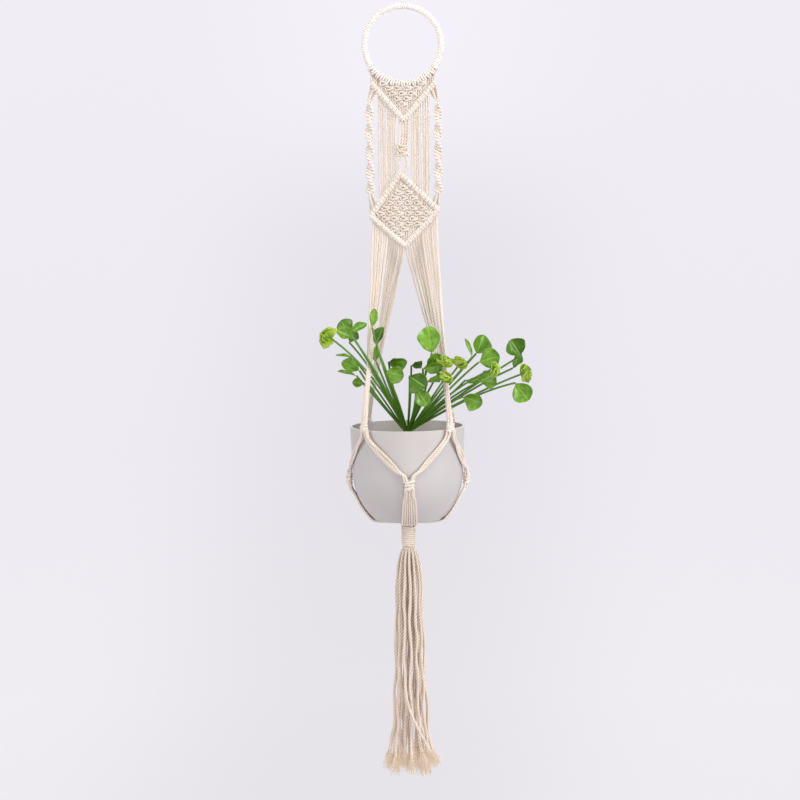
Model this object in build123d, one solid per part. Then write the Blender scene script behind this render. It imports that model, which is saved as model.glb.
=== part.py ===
"""Hanging macrame planter: a cord-wrapped ring, a knotted panel, a four-way cord sling round a pot,
and a tassel.

Millimetres, +Z up, +Y towards the wall. The origin is the point of the ring that bears on a hook:
the top of the ring's opening.
"""
from build123d import *
import os
from math import atan2, cos, degrees, hypot, pi, radians, sin, sqrt, tan

os.makedirs("parts", exist_ok=True)

# ---------------------------------------------------------------- driving dimensions
cord = 3.0                # diameter of the twisted cotton cord
wire = 2.5                # steel wire inside the ring
ring_opening = 95.0       # clear diameter of the wrapped ring
lark_pairs = 14           # doubled cords tied on the ring, so twice as many cords hang from it
lark_spread = 112.0       # arc of the ring that they take, degrees
cord_pitch = 3.16         # centre to centre of cords lying side by side
running_gap = 0.5         # between pieces that move past each other
swing_gap = 1.4           # below the ring, where the panel swings

band_diameter = 7.8       # a holding cord with the hitches tied over it
knot_depth = 8.0          # square knots of the two nets, front to back
knot_height = 6.3
net_row = 7.0             # one row of knots to the next
flat_knot_edge = 1.4      # rounding of every knot

header_half_width = 42.7  # holding cords of the header, at their outer ends
header_top_z = -98.5
header_apex_z = -147.5

spiral_x = 46.2           # side sinnets of half knots
spiral_top_z = -121.5
spiral_bottom_z = -248.0
spiral_width = 12.4
spiral_depth = 7.0
spiral_half_turn = 26.0   # height in which the sinnet turns half round

panel_first_x = 11.2       # nearest of the eight long cords each side
centre_knot_top_z = -181.0
centre_knot_size = (15.4, 9.0, 15.0)

diamond_top = (-6.0, -220.0)
diamond_left = (-45.8, -277.0)
diamond_right = (45.8, -269.0)
diamond_bottom = (0.0, -317.0)

rim_z = -562.0            # pot
rim_radius = 78.0
waist_z = -627.0          # where the wall's slope ends and its round bottom starts
waist_radius = 75.2
base_z = -690.0
base_radius = 45.5
pot_wall = 2.6
pot_floor = 3.4
fill_depth = 32.0         # planting foam below the rim

collar_z = -559.0
collar_size = (13.0, 9.0, 12.0)
collar_azimuths = {"front_left": 229, "front_right": 318, "back_left": 135, "back_right": 45}
net_knot_z = -634.0
net_knot_size = (14.5, 9.0, 15.5)
net_knot_azimuths = {"right": 0, "back": 90, "left": 180, "front": 275}

wrap_turns = 10           # gathering wrap under the pot
wrap_top_z = -698.0
wrap_core_radius = 6.3
gather_radius = 17.0      # where the cords under the pot run together

tassel_gap = 4.0          # below the wrap, where the strands bend
fray_length = 24.0
fray_width = 8.6

stem_base_diameter = 12.0
stem_base_top_z = -570.0
stem_base_length = 52.0
stem_diameter = 2.0
leaf_thickness = 0.9
plant_gap = 0.4           # stem base in its hole

# ---------------------------------------------------------------- derived
wrapped = wire + 2 * cord
ring_radius = (ring_opening + wrapped) / 2
ring_centre = Vector(0, 0, -ring_opening / 2)
ring_bottom_z = -ring_opening - wrapped
cord_count = 2 * lark_pairs
side_cords = cord_count // 2
wrap_height = wrap_turns * cord
wrap_bottom_z = wrap_top_z - wrap_height
tassel_top_z = wrap_bottom_z - tassel_gap

nodes = {}


def keep(name, solids):
    """Files a piece, or a group of like pieces, under its node's name."""
    solids = solids if isinstance(solids, list) else [solids]
    nodes[name] = [s for item in solids for s in item.solids()]


def route_radii(points):
    """The largest arc that each corner's two runs allow."""
    runs = [points[i + 1] - points[i] for i in range(len(points) - 1)]
    radii = []
    for a, b in zip(runs, runs[1:]):
        turn = radians(a.get_angle(b))
        radii.append(0.45 * min(a.length, b.length) / tan(turn / 2))
    return radii


route_report = {}


def tube(points, name, diameter=cord):
    """A cord along straight runs joined by tangent arcs."""
    points = [Vector(*p) for p in points]
    if len(points) == 2:
        path = Line(*points)
    else:
        radii = route_radii(points)
        route_report.setdefault(name, []).extend(radii)
        path = FilletPolyline(*points, radius=radii)
    start = Plane(origin=path @ 0, z_dir=path % 0)
    body = sweep(start * Circle(diameter / 2), path=path)
    expected = pi * diameter ** 2 / 4 * path.length
    if abs(body.volume / expected - 1) > 0.01:
        print("volume off", name, round(body.volume / expected, 4))
    return body.solids()[0]


def rod(start, end, diameter):
    """A straight round bar between two points."""
    start, end = Vector(*start), Vector(*end)
    place = Plane(origin=start, z_dir=(end - start).normalized())
    return extrude(place * Circle(diameter / 2), (end - start).length)


def knot_block(size, edge=flat_knot_edge):
    """A tied knot's outer form: width, depth, height."""
    block = Box(*size)
    return fillet(block.edges(), edge)


def polar(radius, azimuth, z):
    return (radius * cos(radians(azimuth)), radius * sin(radians(azimuth)), z)


def near(body, others):
    """Those of the others whose boxes meet the body's."""
    box = body.bounding_box()
    return [o for o in others if box.overlaps(o.bounding_box())]


def cut_back(body, *others):
    """A cord ends on the face of each piece that it enters."""
    for other in others:
        body = body - other
    pieces = body.solids()
    return max(pieces, key=lambda s: s.volume)


# ---------------------------------------------------------------- ring
# A welded wire hoop. Cord is wound tightly round it, except where the doubled cords are tied on.
def ring_section_at(degrees_from_bottom, outer, inner):
    a = radians(degrees_from_bottom)
    centre = ring_centre + Vector(ring_radius * sin(a), 0, -ring_radius * cos(a))
    place = Plane(origin=centre, x_dir=(0, 1, 0), z_dir=(cos(a), 0, sin(a)))
    return place * (Circle(outer / 2) - Circle(inner / 2))


def ring_arc(first, last):
    """A sleeve on the wire between two angles, counted from the ring's lowest point towards +X."""
    axis = Axis(ring_centre, (0, -1, 0))
    return revolve(ring_section_at(first, wrapped, wire), axis, last - first)


def make_ring():
    keep("hoop", Pos(*ring_centre) * Rot(90, 0, 0) * Torus(ring_radius, wire / 2))
    keep("hoop_wrap", ring_arc(lark_spread / 2, 360 - lark_spread / 2))
    step = lark_spread / lark_pairs
    width = degrees(2 * cord / ring_radius)
    larks = []
    for n in range(lark_pairs):
        middle = -lark_spread / 2 + (n + 0.5) * step
        loops = ring_arc(middle - width / 2, middle + width / 2)
        a = radians(middle)
        along = Vector(cos(a), 0, sin(a))
        outwards = Vector(sin(a), 0, -cos(a))
        behind = Vector(0, wrapped / 2 - cord / 4, 0)
        seat = ring_centre + outwards * (ring_radius + cord / 2) + behind
        bar = rod(seat - along * (cord * 0.9), seat + along * (cord * 0.9), cord)
        larks.append((loops + bar).solids()[0])
    keep("larks_heads", larks)


# ---------------------------------------------------------------- hitched bands
def band_z(x, ends):
    """Height of a straight band's centre line at x."""
    (x0, z0), (x1, z1) = ends
    return z0 + (z1 - z0) * (x - x0) / (x1 - x0)


def band_core(ends, diameter, overrun=0.0):
    (x0, z0), (x1, z1) = ends
    start, end = Vector(x0, 0, z0), Vector(x1, 0, z1)
    along = (end - start).normalized() * overrun
    return rod(start - along, end + along, diameter)


def corner_plane(corner, end_a, end_b):
    """The mitre plane between two bands that meet; its normal points into the first."""
    c = Vector(corner[0], 0, corner[1])
    a = (Vector(end_a[0], 0, end_a[1]) - c).normalized()
    b = (Vector(end_b[0], 0, end_b[1]) - c).normalized()
    return Plane(origin=c, z_dir=a - b)


def hitches(ends, count, mitres):
    """Double half hitches side by side along a holding cord, mitred where two bands meet."""
    (x0, z0), (x1, z1) = ends
    start, end = Vector(x0, 0, z0), Vector(x1, 0, z1)
    along = (end - start).normalized()
    pitch = (end - start).length / count
    sleeve = Cylinder(band_diameter / 2, pitch * 0.95)
    sleeve = fillet(sleeve.edges(), cord * 0.35) - Cylinder(cord / 2, pitch * 2)
    made = []
    for n in range(count):
        place = Plane(origin=start + along * ((n + 0.5) * pitch), z_dir=along)
        hitch = place * sleeve
        for mitre in mitres:
            hitch = split(hitch, bisect_by=mitre, keep=Keep.TOP)
        made += hitch.solids()
    return made


def holding_cord(ends, mitres):
    core = band_core(ends, cord)
    for mitre in mitres:
        core = split(core, bisect_by=mitre, keep=Keep.TOP)
    return core.solids()[0]


header_apex = (0.0, header_apex_z)
header_ends = {
    "left": ((-header_half_width, header_top_z), header_apex),
    "right": ((header_half_width, header_top_z), header_apex),
}
diamond_ends = {
    "upper_left": (diamond_top, diamond_left),
    "upper_right": (diamond_top, diamond_right),
    "lower_left": (diamond_left, diamond_bottom),
    "lower_right": (diamond_right, diamond_bottom),
}
header_bands = [band_core(e, band_diameter, overrun=2.0) for e in header_ends.values()]
diamond_bands = [band_core(e, band_diameter, overrun=2.0) for e in diamond_ends.values()]


def make_bands():
    outer = {side: ends[0] for side, ends in header_ends.items()}
    mitres = {
        "left": [corner_plane(header_apex, outer["left"], outer["right"])],
        "right": [corner_plane(header_apex, outer["right"], outer["left"])],
    }
    keep("header_holding_cords", [holding_cord(header_ends[s], mitres[s]) for s in mitres])
    for side, ends in header_ends.items():
        keep("header_hitches_" + side, hitches(ends, side_cords, mitres[side]))

    top, left, right, bottom = diamond_top, diamond_left, diamond_right, diamond_bottom
    mitres = {
        "upper_left": [corner_plane(top, left, right), corner_plane(left, top, bottom)],
        "upper_right": [corner_plane(top, right, left), corner_plane(right, top, bottom)],
        "lower_left": [corner_plane(bottom, left, right), corner_plane(left, bottom, top)],
        "lower_right": [corner_plane(bottom, right, left), corner_plane(right, bottom, top)],
    }
    keep("diamond_holding_cords", [holding_cord(diamond_ends[s], mitres[s]) for s in mitres])
    for side, ends in diamond_ends.items():
        keep("diamond_hitches_" + side, hitches(ends, side_cords, mitres[side]))


# ---------------------------------------------------------------- the two nets of square knots
def cord_x(n):
    """Place across the panel of cord n, counted from the left."""
    return (n - (cord_count - 1) / 2) * cord_pitch


def net_knots(inside, edges):
    """Alternating square knots over four cords, each row shifted by two, cut where they meet the edges."""
    blank = knot_block((4 * cord_pitch * 0.95, knot_depth, knot_height))
    for n in range(4):
        blank = blank - Pos((n - 1.5) * cord_pitch, 0, 0) * Cylinder(cord / 2, 2 * knot_height)
    made = []
    row, z = 0, header_top_z
    while z > diamond_bottom[1]:
        first = 0 if row % 2 == 0 else 2
        for n in range(first, cord_count - 3, 4):
            x = (cord_x(n) + cord_x(n + 3)) / 2
            if inside(x, z):
                made.append(cut_back(Pos(x, 0, z) * blank, *edges))
        row += 1
        z -= net_row
    return made


band_clearance = band_diameter / 2 + knot_height * 0.4
ring_room = Pos(*ring_centre) * Rot(90, 0, 0) * Cylinder(ring_radius + wrapped / 2 + swing_gap, 4 * wrapped)


def off_line(x, z, ends):
    """Distance of a point from a band's centre line."""
    (x0, z0), (x1, z1) = ends
    return abs((x1 - x0) * (z0 - z) - (x0 - x) * (z1 - z0)) / hypot(x1 - x0, z1 - z0)


def in_header(x, z):
    ends = header_ends["left" if x < 0 else "right"]
    if z < band_z(x, ends) or off_line(x, z, ends) < band_clearance:
        return False
    return hypot(x, z - ring_centre.Z) > ring_radius + wrapped / 2 + swing_gap + knot_height * 0.3


def in_diamond(x, z):
    if not diamond_left[0] < x < diamond_right[0]:
        return False
    upper = diamond_ends["upper_left" if x < diamond_top[0] else "upper_right"]
    lower = diamond_ends["lower_left" if x < diamond_bottom[0] else "lower_right"]
    if not band_z(x, lower) < z < band_z(x, upper):
        return False
    return min(off_line(x, z, e) for e in diamond_ends.values()) > band_clearance


def make_nets():
    keep("header_net", net_knots(in_header, header_bands + [ring_room]))
    keep("diamond_net", net_knots(in_diamond, diamond_bands))
    header_cords, diamond_cords = [], []
    for n in range(cord_count):
        x = cord_x(n)
        top = ring_centre.Z - sqrt((ring_radius + wrapped / 2 + swing_gap) ** 2 - x ** 2)
        bottom = band_z(x, header_ends["left" if x < 0 else "right"])
        header_cords.append(cut_back(rod((x, 0, top), (x, 0, bottom), cord), *header_bands))
        upper = band_z(x, diamond_ends["upper_left" if x < diamond_top[0] else "upper_right"])
        lower = band_z(x, diamond_ends["lower_left" if x < 0 else "lower_right"])
        if upper - lower > 2.2 * band_diameter:
            diamond_cords.append(cut_back(rod((x, 0, upper), (x, 0, lower), cord), *diamond_bands))
    keep("header_cords", header_cords)
    keep("diamond_cords", diamond_cords)


# ---------------------------------------------------------------- side sinnets and long cords of the panel
# Half knots turn the sinnets round their two core cords. The cords that tie them come off the header's
# holding cords and go back on the diamond's.
first_turn = 60                  # degrees, of a sinnet's first knot
core_seat = 0.52 * cord          # four cords packed square
lead_spacing = 0.85 * cord_pitch
long_cord_pitch = 1.005 * cord_pitch
side_cord_count = 8              # long cords each side of the middle
centre_cord_pitch = 1.3 * cord_pitch
centre_cords_x = 1.0             # the middle four hang a little to the right
centre_bow = 5.6                 # the middle cords bow apart below their knot
centre_bow_x = -1.1
centre_join_x = 1.7              # where they come together on the diamond, from its top corner
centre_knot_edge = 2.4


def make_panel():
    knots = round((spiral_top_z - spiral_bottom_z) / (cord * 1.08))
    rise = (spiral_top_z - spiral_bottom_z) / knots
    turn = 180 * rise / spiral_half_turn
    tread = extrude(SlotOverall(spiral_width, spiral_depth), rise)
    for side, sign in (("left", -1), ("right", 1)):
        stack = [
            Pos(sign * spiral_x, 0, spiral_top_z - (n + 1) * rise) * Rot(0, 0, first_turn + n * turn) * tread
            for n in range(knots)
        ]
        keep("side_spiral_" + side, Part() + stack)

        leads, tails = [], []
        for n, (sx, sy) in enumerate([(-1, 1), (-1, -1), (1, 1), (1, -1)]):
            seat_x, seat_y = sign * spiral_x + sx * core_seat, sy * core_seat
            place = 3 - n if sign > 0 else n
            from_x = sign * (header_half_width - place * lead_spacing)
            top = (from_x, seat_y / 2, band_z(from_x, header_ends[side]))
            lead = rod(top, (seat_x, seat_y, spiral_top_z), cord)
            leads.append(cut_back(lead, *header_bands))
            to_x = sign * (abs(diamond_left[0]) - place * cord_pitch)
            foot = (to_x, seat_y / 2, band_z(to_x, diamond_ends["upper_" + side]))
            tail = rod((seat_x, seat_y, spiral_bottom_z), foot, cord)
            tails.append(cut_back(tail, *diamond_bands))
        keep("side_leads_" + side, [cut_back(s, nodes["side_spiral_" + side][0]) for s in leads])
        keep("side_tails_" + side, [cut_back(s, nodes["side_spiral_" + side][0]) for s in tails])

        long_cords = []
        for n in range(side_cord_count):
            x = sign * (panel_first_x + n * long_cord_pitch)
            top = band_z(x, header_ends[side])
            upper = diamond_ends["upper_left" if x < diamond_top[0] else "upper_right"]
            long_cord = rod((x, 0, top), (x, 0, band_z(x, upper)), cord)
            long_cords.append(cut_back(long_cord, *header_bands, *diamond_bands))
        keep("panel_cords_" + side, long_cords)

    width, depth, height = centre_knot_size
    knot_x = diamond_top[0] / 4
    centre_knot = knot_block(centre_knot_size, centre_knot_edge)
    centre_knot = Pos(knot_x, 0, centre_knot_top_z - height / 2) * centre_knot
    keep("centre_knot", centre_knot)
    upper_cords, lower_cords = [], []
    for n in range(4):
        x = (n - 1.5) * centre_cord_pitch + centre_cords_x
        top = band_z(x, header_ends["left" if x < 0 else "right"])
        cord_up = rod((x, 0, top), (x * 0.9 + knot_x, 0, centre_knot_top_z - 3), cord)
        upper_cords.append(cut_back(cord_up, *header_bands, centre_knot))
        side = -1 if n < 2 else 1
        y = (-1 if n % 2 else 1) * cord_pitch / 2
        bow = centre_bow_x + side * centre_bow
        end_x = diamond_top[0] + centre_join_x + side * 0.6 * cord_pitch
        z0 = centre_knot_top_z - height
        points = [
            (knot_x + side * 0.75 * cord_pitch, y, z0 + 4),
            (bow, y, z0 - 8),
            (bow + 0.3 * side, y, z0 - 16),
            (end_x, y * 0.8, diamond_top[1] + 1.0),
        ]
        lower_cords.append(cut_back(tube(points, "centre_cords_lower"), *diamond_bands, centre_knot))
    keep("centre_cords_upper", upper_cords)
    keep("centre_cords_lower", lower_cords)


# ---------------------------------------------------------------- pot, foam, and the sling round them
# The wall slopes from the rim to the waist, then one arc, tangent to it, runs down to the base.
slope = atan2(rim_radius - waist_radius, rim_z - waist_z)
to_base = Vector(base_radius - waist_radius, base_z - waist_z)
half_turn = atan2(waist_radius - base_radius, waist_z - base_z) - slope
belly_radius = to_base.length / (2 * sin(half_turn))
belly_centre = (waist_radius - belly_radius * cos(slope), waist_z + belly_radius * sin(slope))


def wall_radius(z):
    """Outside of the pot's wall at a height."""
    if z > waist_z:
        return waist_radius + (min(z, rim_z) - waist_z) * tan(slope)
    return belly_centre[0] + sqrt(belly_radius ** 2 - (z - belly_centre[1]) ** 2)


def belly_point(angle, off):
    """A point off the round bottom of the wall, by its slope in degrees."""
    r = belly_radius + off
    return belly_centre[0] + r * cos(radians(angle)), belly_centre[1] - r * sin(radians(angle))


def pot_blank(inset, top_z, bottom_z):
    """The pot's outline, moved in by a wall, as a solid of revolution."""
    def belly(z):
        return belly_centre[0] + sqrt((belly_radius - inset) ** 2 - (z - belly_centre[1]) ** 2)

    middle_z = (waist_z + bottom_z) / 2
    waist_r, waist_at = belly_point(degrees(slope), -inset)
    rim = (waist_r + (top_z - waist_at) * tan(slope), 0, top_z)
    waist = (waist_r, 0, waist_at)
    middle = (belly(middle_z), 0, middle_z)
    foot = (belly(bottom_z), 0, bottom_z)
    outline = [
        Line((0, 0, top_z), rim),
        Line(rim, waist),
        ThreePointArc(waist, middle, foot),
        Line(foot, (0, 0, bottom_z)),
        Line((0, 0, bottom_z), (0, 0, top_z)),
    ]
    return revolve(make_face(Wire(outline)), Axis.Z, 360)


def make_pot():
    outer = pot_blank(0, rim_z, base_z)
    inner = pot_blank(pot_wall, rim_z + 1, base_z + pot_floor)
    shell = outer - inner
    rims = shell.edges().filter_by(GeomType.CIRCLE).group_by(Axis.Z)[-1]
    shell = fillet(rims, pot_wall * 0.3)
    foot = shell.edges().filter_by(GeomType.CIRCLE).group_by(Axis.Z)[0]
    keep("pot", fillet(foot, 1.5))
    foam_top = rim_z - fill_depth
    foam = pot_blank(pot_wall, foam_top, base_z + pot_floor)
    hole_bottom = stem_base_top_z - stem_base_length - 1
    hole = Pos(0, 0, (foam_top + 1 + hole_bottom) / 2) * Cylinder(
        stem_base_diameter / 2 + plant_gap, foam_top + 1 - hole_bottom)
    keep("planting_foam", foam - hole)


def stood(size, radius, azimuth, z, edge=flat_knot_edge):
    """A knot on the pot's wall, its flat back to the wall."""
    return Rot(0, 0, azimuth - 90) * Pos(0, radius, z) * knot_block(size, edge)


collar_radius = rim_radius + running_gap + collar_size[1] / 2
net_knot_radius = wall_radius(net_knot_z + net_knot_size[2] / 2) + running_gap + net_knot_size[1] / 2
wall_off = cord / 2 + running_gap + 0.6

# seven cords packed in a collar: place round the collar and out from it, in cord pitches
collar_seats = [
    (-0.98, 0.0), (-0.49, 0.85), (-0.49, -0.85), (0.0, 0.0), (0.49, 0.85), (0.49, -0.85), (0.98, 0.0),
]
# seven cords below a net knot: place across and out, in cord diameters
foot_seats = [
    (-1.9, -0.45), (-1.25, 0.5), (-0.63, -0.45), (0.0, 0.5), (0.63, -0.45), (1.25, 0.5), (1.9, -0.45),
]
# down the round bottom of the pot: the wall's slope in degrees, and how far the cords have spread
belly_way = [(21, 0.84), (30, 0.93), (39, 1.0)]
# on under the pot: distance from its axis, and how far below its base
under_way = [(48.2, 2.0), (36.5, 3.1), (24.0, 3.5), (9.0, 3.6)]
under_pitch = 0.985 * cord_pitch
knot_reach = 4.0          # how far a cord runs straight into a knot
twist_gap = 2.2           # between the diamond and the bundles, where the sling turns
bundle_head = 0.81 * band_diameter + cord / 2 + twist_gap

# a leg's cord, as shares of the way round to the net knot and of the way down to it
leg_way = [(0.01, 0.09), (0.21, 0.29), (0.41, 0.48), (0.60, 0.67), (0.79, 0.83), (0.97, 0.92)]

# places of the cords that leave a collar one way, and that enter a net knot: round it and out from it
leg_seats_four = [(0.5, 0.5), (0.5, -0.5), (1.5, 0.5), (1.5, -0.5)]
leg_seats_three = [(0.5, 0.5), (0.5, -0.5), (1.5, -0.5)]


def turn_between(first, last):
    """The short way round from one azimuth to another, degrees."""
    return (last - first + 180) % 360 - 180


def make_sling():
    collars = {c: stood(collar_size, collar_radius, a, collar_z) for c, a in collar_azimuths.items()}
    net_knots_made = {
        k: stood(net_knot_size, net_knot_radius, a, net_knot_z) for k, a in net_knot_azimuths.items()
    }
    for name, solid in collars.items():
        keep("collar_knot_" + name, solid)
    for name, solid in net_knots_made.items():
        keep("net_knot_" + name, solid)

    # bundles: the outer seven cords of each side go to the front collar, the inner seven behind
    for name, azimuth in collar_azimuths.items():
        sign = -1 if "left" in name else 1
        first = 7 if "back" in name else 0
        made = []
        for n in range(7):
            x = sign * abs(cord_x(first + n))
            lower = band_z(x, diamond_ends["lower_left" if sign < 0 else "lower_right"])
            round_it, out = collar_seats[n] if name in ("front_right", "back_left") else collar_seats[6 - n]
            turned = degrees(round_it * cord_pitch / collar_radius)
            seat = polar(collar_radius + out * cord_pitch, azimuth + turned, collar_z)
            bundle_cord = rod((x, 0, lower - bundle_head), seat, cord)
            made.append(cut_back(bundle_cord, collars[name]))
        keep("bundle_" + name, made)

    # legs: four cords of each collar go one way round, three the other
    neighbours = {
        "front_left": (("front", leg_seats_four), ("left", leg_seats_three)),
        "front_right": (("right", leg_seats_four), ("front", leg_seats_three)),
        "back_right": (("back", leg_seats_four), ("right", leg_seats_three)),
        "back_left": (("left", leg_seats_four), ("back", leg_seats_three)),
    }
    collar_foot = collar_z - collar_size[2] / 2
    net_head = net_knot_z + net_knot_size[2] / 2
    for name, ways in neighbours.items():
        made = []
        for target, seats in ways:
            start, end = collar_azimuths[name], net_knot_azimuths[target]
            arc = turn_between(start, end)
            way = 1 if arc > 0 else -1
            for n, (round_it, out) in enumerate(seats):
                lane = (n - (len(seats) - 1) / 2) * cord_pitch
                points = []
                for i, (share_round, share_down) in enumerate(leg_way):
                    z = collar_foot + (net_head - collar_foot) * share_down
                    middle = min(i, len(leg_way) - 1 - i, 2) / 2
                    pull = 1 - middle
                    near_start = share_round < 0.5
                    inwards = way if near_start else -way
                    seat_turn = degrees(round_it * cord_pitch / collar_radius) * inwards
                    lane_turn = degrees(lane * 0.7 / collar_radius) * way
                    azimuth = start + arc * share_round + seat_turn * pull + lane_turn * middle
                    z += lane * 0.7 * middle
                    seat_r = (collar_radius if near_start else net_knot_radius) + out * cord_pitch
                    wall_r = wall_radius(z) + wall_off
                    points.append(polar(seat_r * pull + wall_r * middle, azimuth, z))
                first, last = Vector(*points[0]), Vector(*points[-1])
                points.insert(0, (first.X, first.Y, collar_foot + knot_reach))
                points.append((last.X, last.Y, net_head - knot_reach))
                body = tube(points, "legs_" + name)
                made.append(cut_back(body, collars[name], net_knots_made[target]))
        keep("legs_" + name, made)

    # the seven cords below each net knot hug the wall and run in under the pot
    core = revolve(make_face(Polyline(
        (0, 0, base_z - 1.0), (gather_radius, 0, base_z - 1.0), (gather_radius, 0, base_z - 6.0),
        (wrap_core_radius + cord, 0, wrap_top_z), (wrap_core_radius, 0, wrap_top_z),
        (wrap_core_radius, 0, wrap_bottom_z), (0, 0, wrap_bottom_z), (0, 0, base_z - 1.0))), Axis.Z, 360)
    keep("gathered_cords", core)
    knot_foot = net_knot_z - net_knot_size[2] / 2
    for name, azimuth in net_knot_azimuths.items():
        made = []
        for n, (across, out) in enumerate(foot_seats):
            lane = (n - 3) * under_pitch
            way = [
                (net_knot_radius + out * cord, across * cord, knot_foot + knot_reach),
                (net_knot_radius - 1.3 + out * 0.6 * cord, across * cord, knot_foot - 5.0),
            ]
            for angle, spread in belly_way:
                r, z = belly_point(angle, wall_off)
                way.append((r, lane * spread, z))
            way += [(r, lane, base_z - below) for r, below in under_way]
            points = []
            for r, across_mm, z in way:
                a = radians(azimuth)
                points.append((r * cos(a) - across_mm * sin(a), r * sin(a) + across_mm * cos(a), z))
            body = tube(points, "under_cords_" + name)
            made.append(cut_back(body, net_knots_made[name], core))
        keep("under_cords_" + name, made)

    middle_z = (wrap_top_z + wrap_bottom_z) / 2
    outline = Pos(wrap_core_radius + cord / 4, middle_z) * Rectangle(cord / 2, wrap_height)
    turn_section = Circle(cord / 2 - 0.001)
    for n in range(wrap_turns):
        outline += Pos(wrap_core_radius + cord / 2, wrap_top_z - (n + 0.5) * cord) * turn_section
    keep("gather_wrap", revolve(Plane.XZ * outline, Axis.Z, 360))


# ---------------------------------------------------------------- tassel
# Every strand keeps its place in three rings, which open out on the way down, and wanders a little.
strands_in_ring = (4, 10, 14)
strand_ring_radius = (2.15, 5.2, 8.25)
strand_levels = [
    0.0, -10.0, -27.0, -50.0, -74.0, -98.0, -122.0, -146.0, -170.0, -194.0, -218.0, -242.0, -261.0, -279.0,
]
strand_spread = [1.0, 1.5, 1.88, 2.04, 2.13, 2.19, 2.28, 2.4, 2.5, 2.59, 2.71, 2.91, 3.18, 3.5]
# how far a strand strays at each level
strand_wander = [0.0, 0.1, 1.0, 1.3, 1.5, 1.7, 1.8, 2.0, 2.1, 2.2, 2.2, 2.2, 1.8, 1.1]
wander_turn = 2.4             # radians between the ways two neighbours stray
wander_bends = (1.7, 2.6, -2.1)  # radians a strand's way turns from one level to the next
crossing_strand = 23          # one strand falls across the front
crossing_way = {9: (-5.5, -24.5), 10: (0.0, -29.0), 11: (11.0, -31.5), 12: (20.0, -29.0), 13: (27.0, -24.0)}
strand_trim = [0.0, -6.0, 3.0, -3.0, 5.0, -8.0, 1.5]


def strand_points(count, radius, seat, index):
    """A strand's route, from under the wrap to where it starts to fray."""
    offset = 0.23 if count == strands_in_ring[0] else 0.73
    angle = 2 * pi * (seat + offset) / count
    points = []
    for n, (level, spread, stray) in enumerate(zip(strand_levels, strand_spread, strand_wander)):
        heading = wander_turn * index + wander_bends[index % 3] * n
        x = radius * spread * cos(angle) + stray * cos(heading)
        y = radius * spread * sin(angle) + stray * sin(heading)
        if index == crossing_strand and n in crossing_way:
            x, y = crossing_way[n]
        points.append([x, y, tassel_top_z + level])
    points[-1][2] += strand_trim[index % len(strand_trim)]
    return points


def make_tassel():
    inner, outer, ends = [], [], []
    index = 0
    for count, radius in zip(strands_in_ring, strand_ring_radius):
        for seat in range(count):
            points = strand_points(count, radius, seat, index)
            group = outer if radius == strand_ring_radius[-1] else inner
            group.append(tube(points, "tassel_strands"))
            tip, before = Vector(*points[-1]), Vector(*points[-2])
            along = (tip - before).normalized()
            foot = tip + along * fray_length
            top = Plane(origin=tip, z_dir=along) * Circle(cord / 2)
            low = Plane(origin=foot, z_dir=along) * Circle(fray_width / 2)
            ends.append(loft([top, low]))
            index += 1
    keep("tassel_strands_inner", inner)
    keep("tassel_strands_outer", outer)
    keep("tassel_frayed_ends", ends)


# ---------------------------------------------------------------- artificial plant
# Each leaf: where its stem bends, where the blade starts, its tip, its width, and how far its face
# leans from facing the front, in degrees.
leaves = {
    "left": [
        ((-39, -47, -483), (-71, -52, -432), (-85, -48, -415), 19, 10),
        ((-42, -50, -475), (-67, -56, -438), (-89, -60, -426), 17, 35),
        ((-36, -52, -477), (-73, -66, -430), (-49, -62, -417), 9, -20),
        ((-29, -50, -483), (-42, -55, -424), (-38, -56, -399), 9, 15),
        ((-25, -40, -479), (-38, -46, -449), (-29, -46, -424), 12, -25),
        ((-41, -20, -484), (-76, -22, -446), (-66, -24, -430), 12, 30),
        ((-31, -16, -497), (-40, -14, -474), (-48, -12, -453), 13, 40),
        ((-48, -6, -514), (-64, -4, -486), (-87, -8, -473), 15, 20),
        ((-44, -12, -505), (-71, -10, -468), (-95, -12, -462), 5, 60),
        ((-50, 4, -516), (-69, 6, -494), (-94, 4, -486), 6, 60),
        ((-40, 8, -525), (-59, 10, -505), (-75, 8, -503), 10, 10),
    ],
    "centre": [
        ((-18, -22, -517), (-22, -32, -472), (2, -38, -474), 18, 30),
        ((-7, -28, -527), (-25, -46, -484), (-1, -48, -491), 20, 15),
        ((7, -14, -517), (8, -26, -478), (23, -28, -473), 10, 35),
        ((6, -28, -522), (7, -50, -490), (28, -56, -505), 24, 10),
        ((14, -30, -534), (15, -44, -508), (31, -48, -530), 17, -10),
        ((22, -22, -507), (37, -44, -460), (32, -47, -424), 24, -5),
        ((24, -26, -517), (30, -48, -476), (49, -52, -462), 16, 25),
        ((26, -28, -522), (25, -50, -480), (52, -54, -477), 13, 20),
        ((24, -28, -525), (31, -50, -497), (50, -58, -488), 11, 45),
    ],
    "right": [
        ((57, -8, -505), (90, -10, -468), (82, -12, -443), 5, 30),
        ((62, -4, -501), (95, -2, -464), (107, -4, -440), 21, 20),
        ((68, -12, -499), (99, -14, -475), (127, -18, -466), 23, -15),
        ((86, 4, -509), (155, 4, -468), (142, 2, -446), 23, 10),
        ((90, 12, -509), (144, 17, -486), (155, 15, -464), 12, 35),
        ((64, 6, -517), (99, -12, -502), (121, -17, -492), 23, 25),
        ((60, 6, -521), (79, 16, -502), (101, 20, -500), 12, 50),
        ((54, -10, -529), (77, -14, -522), (103, -18, -531), 20, 15),
        ((94, -4, -515), (148, -6, -504), (165, -10, -528), 23, 0),
    ],
}
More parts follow.
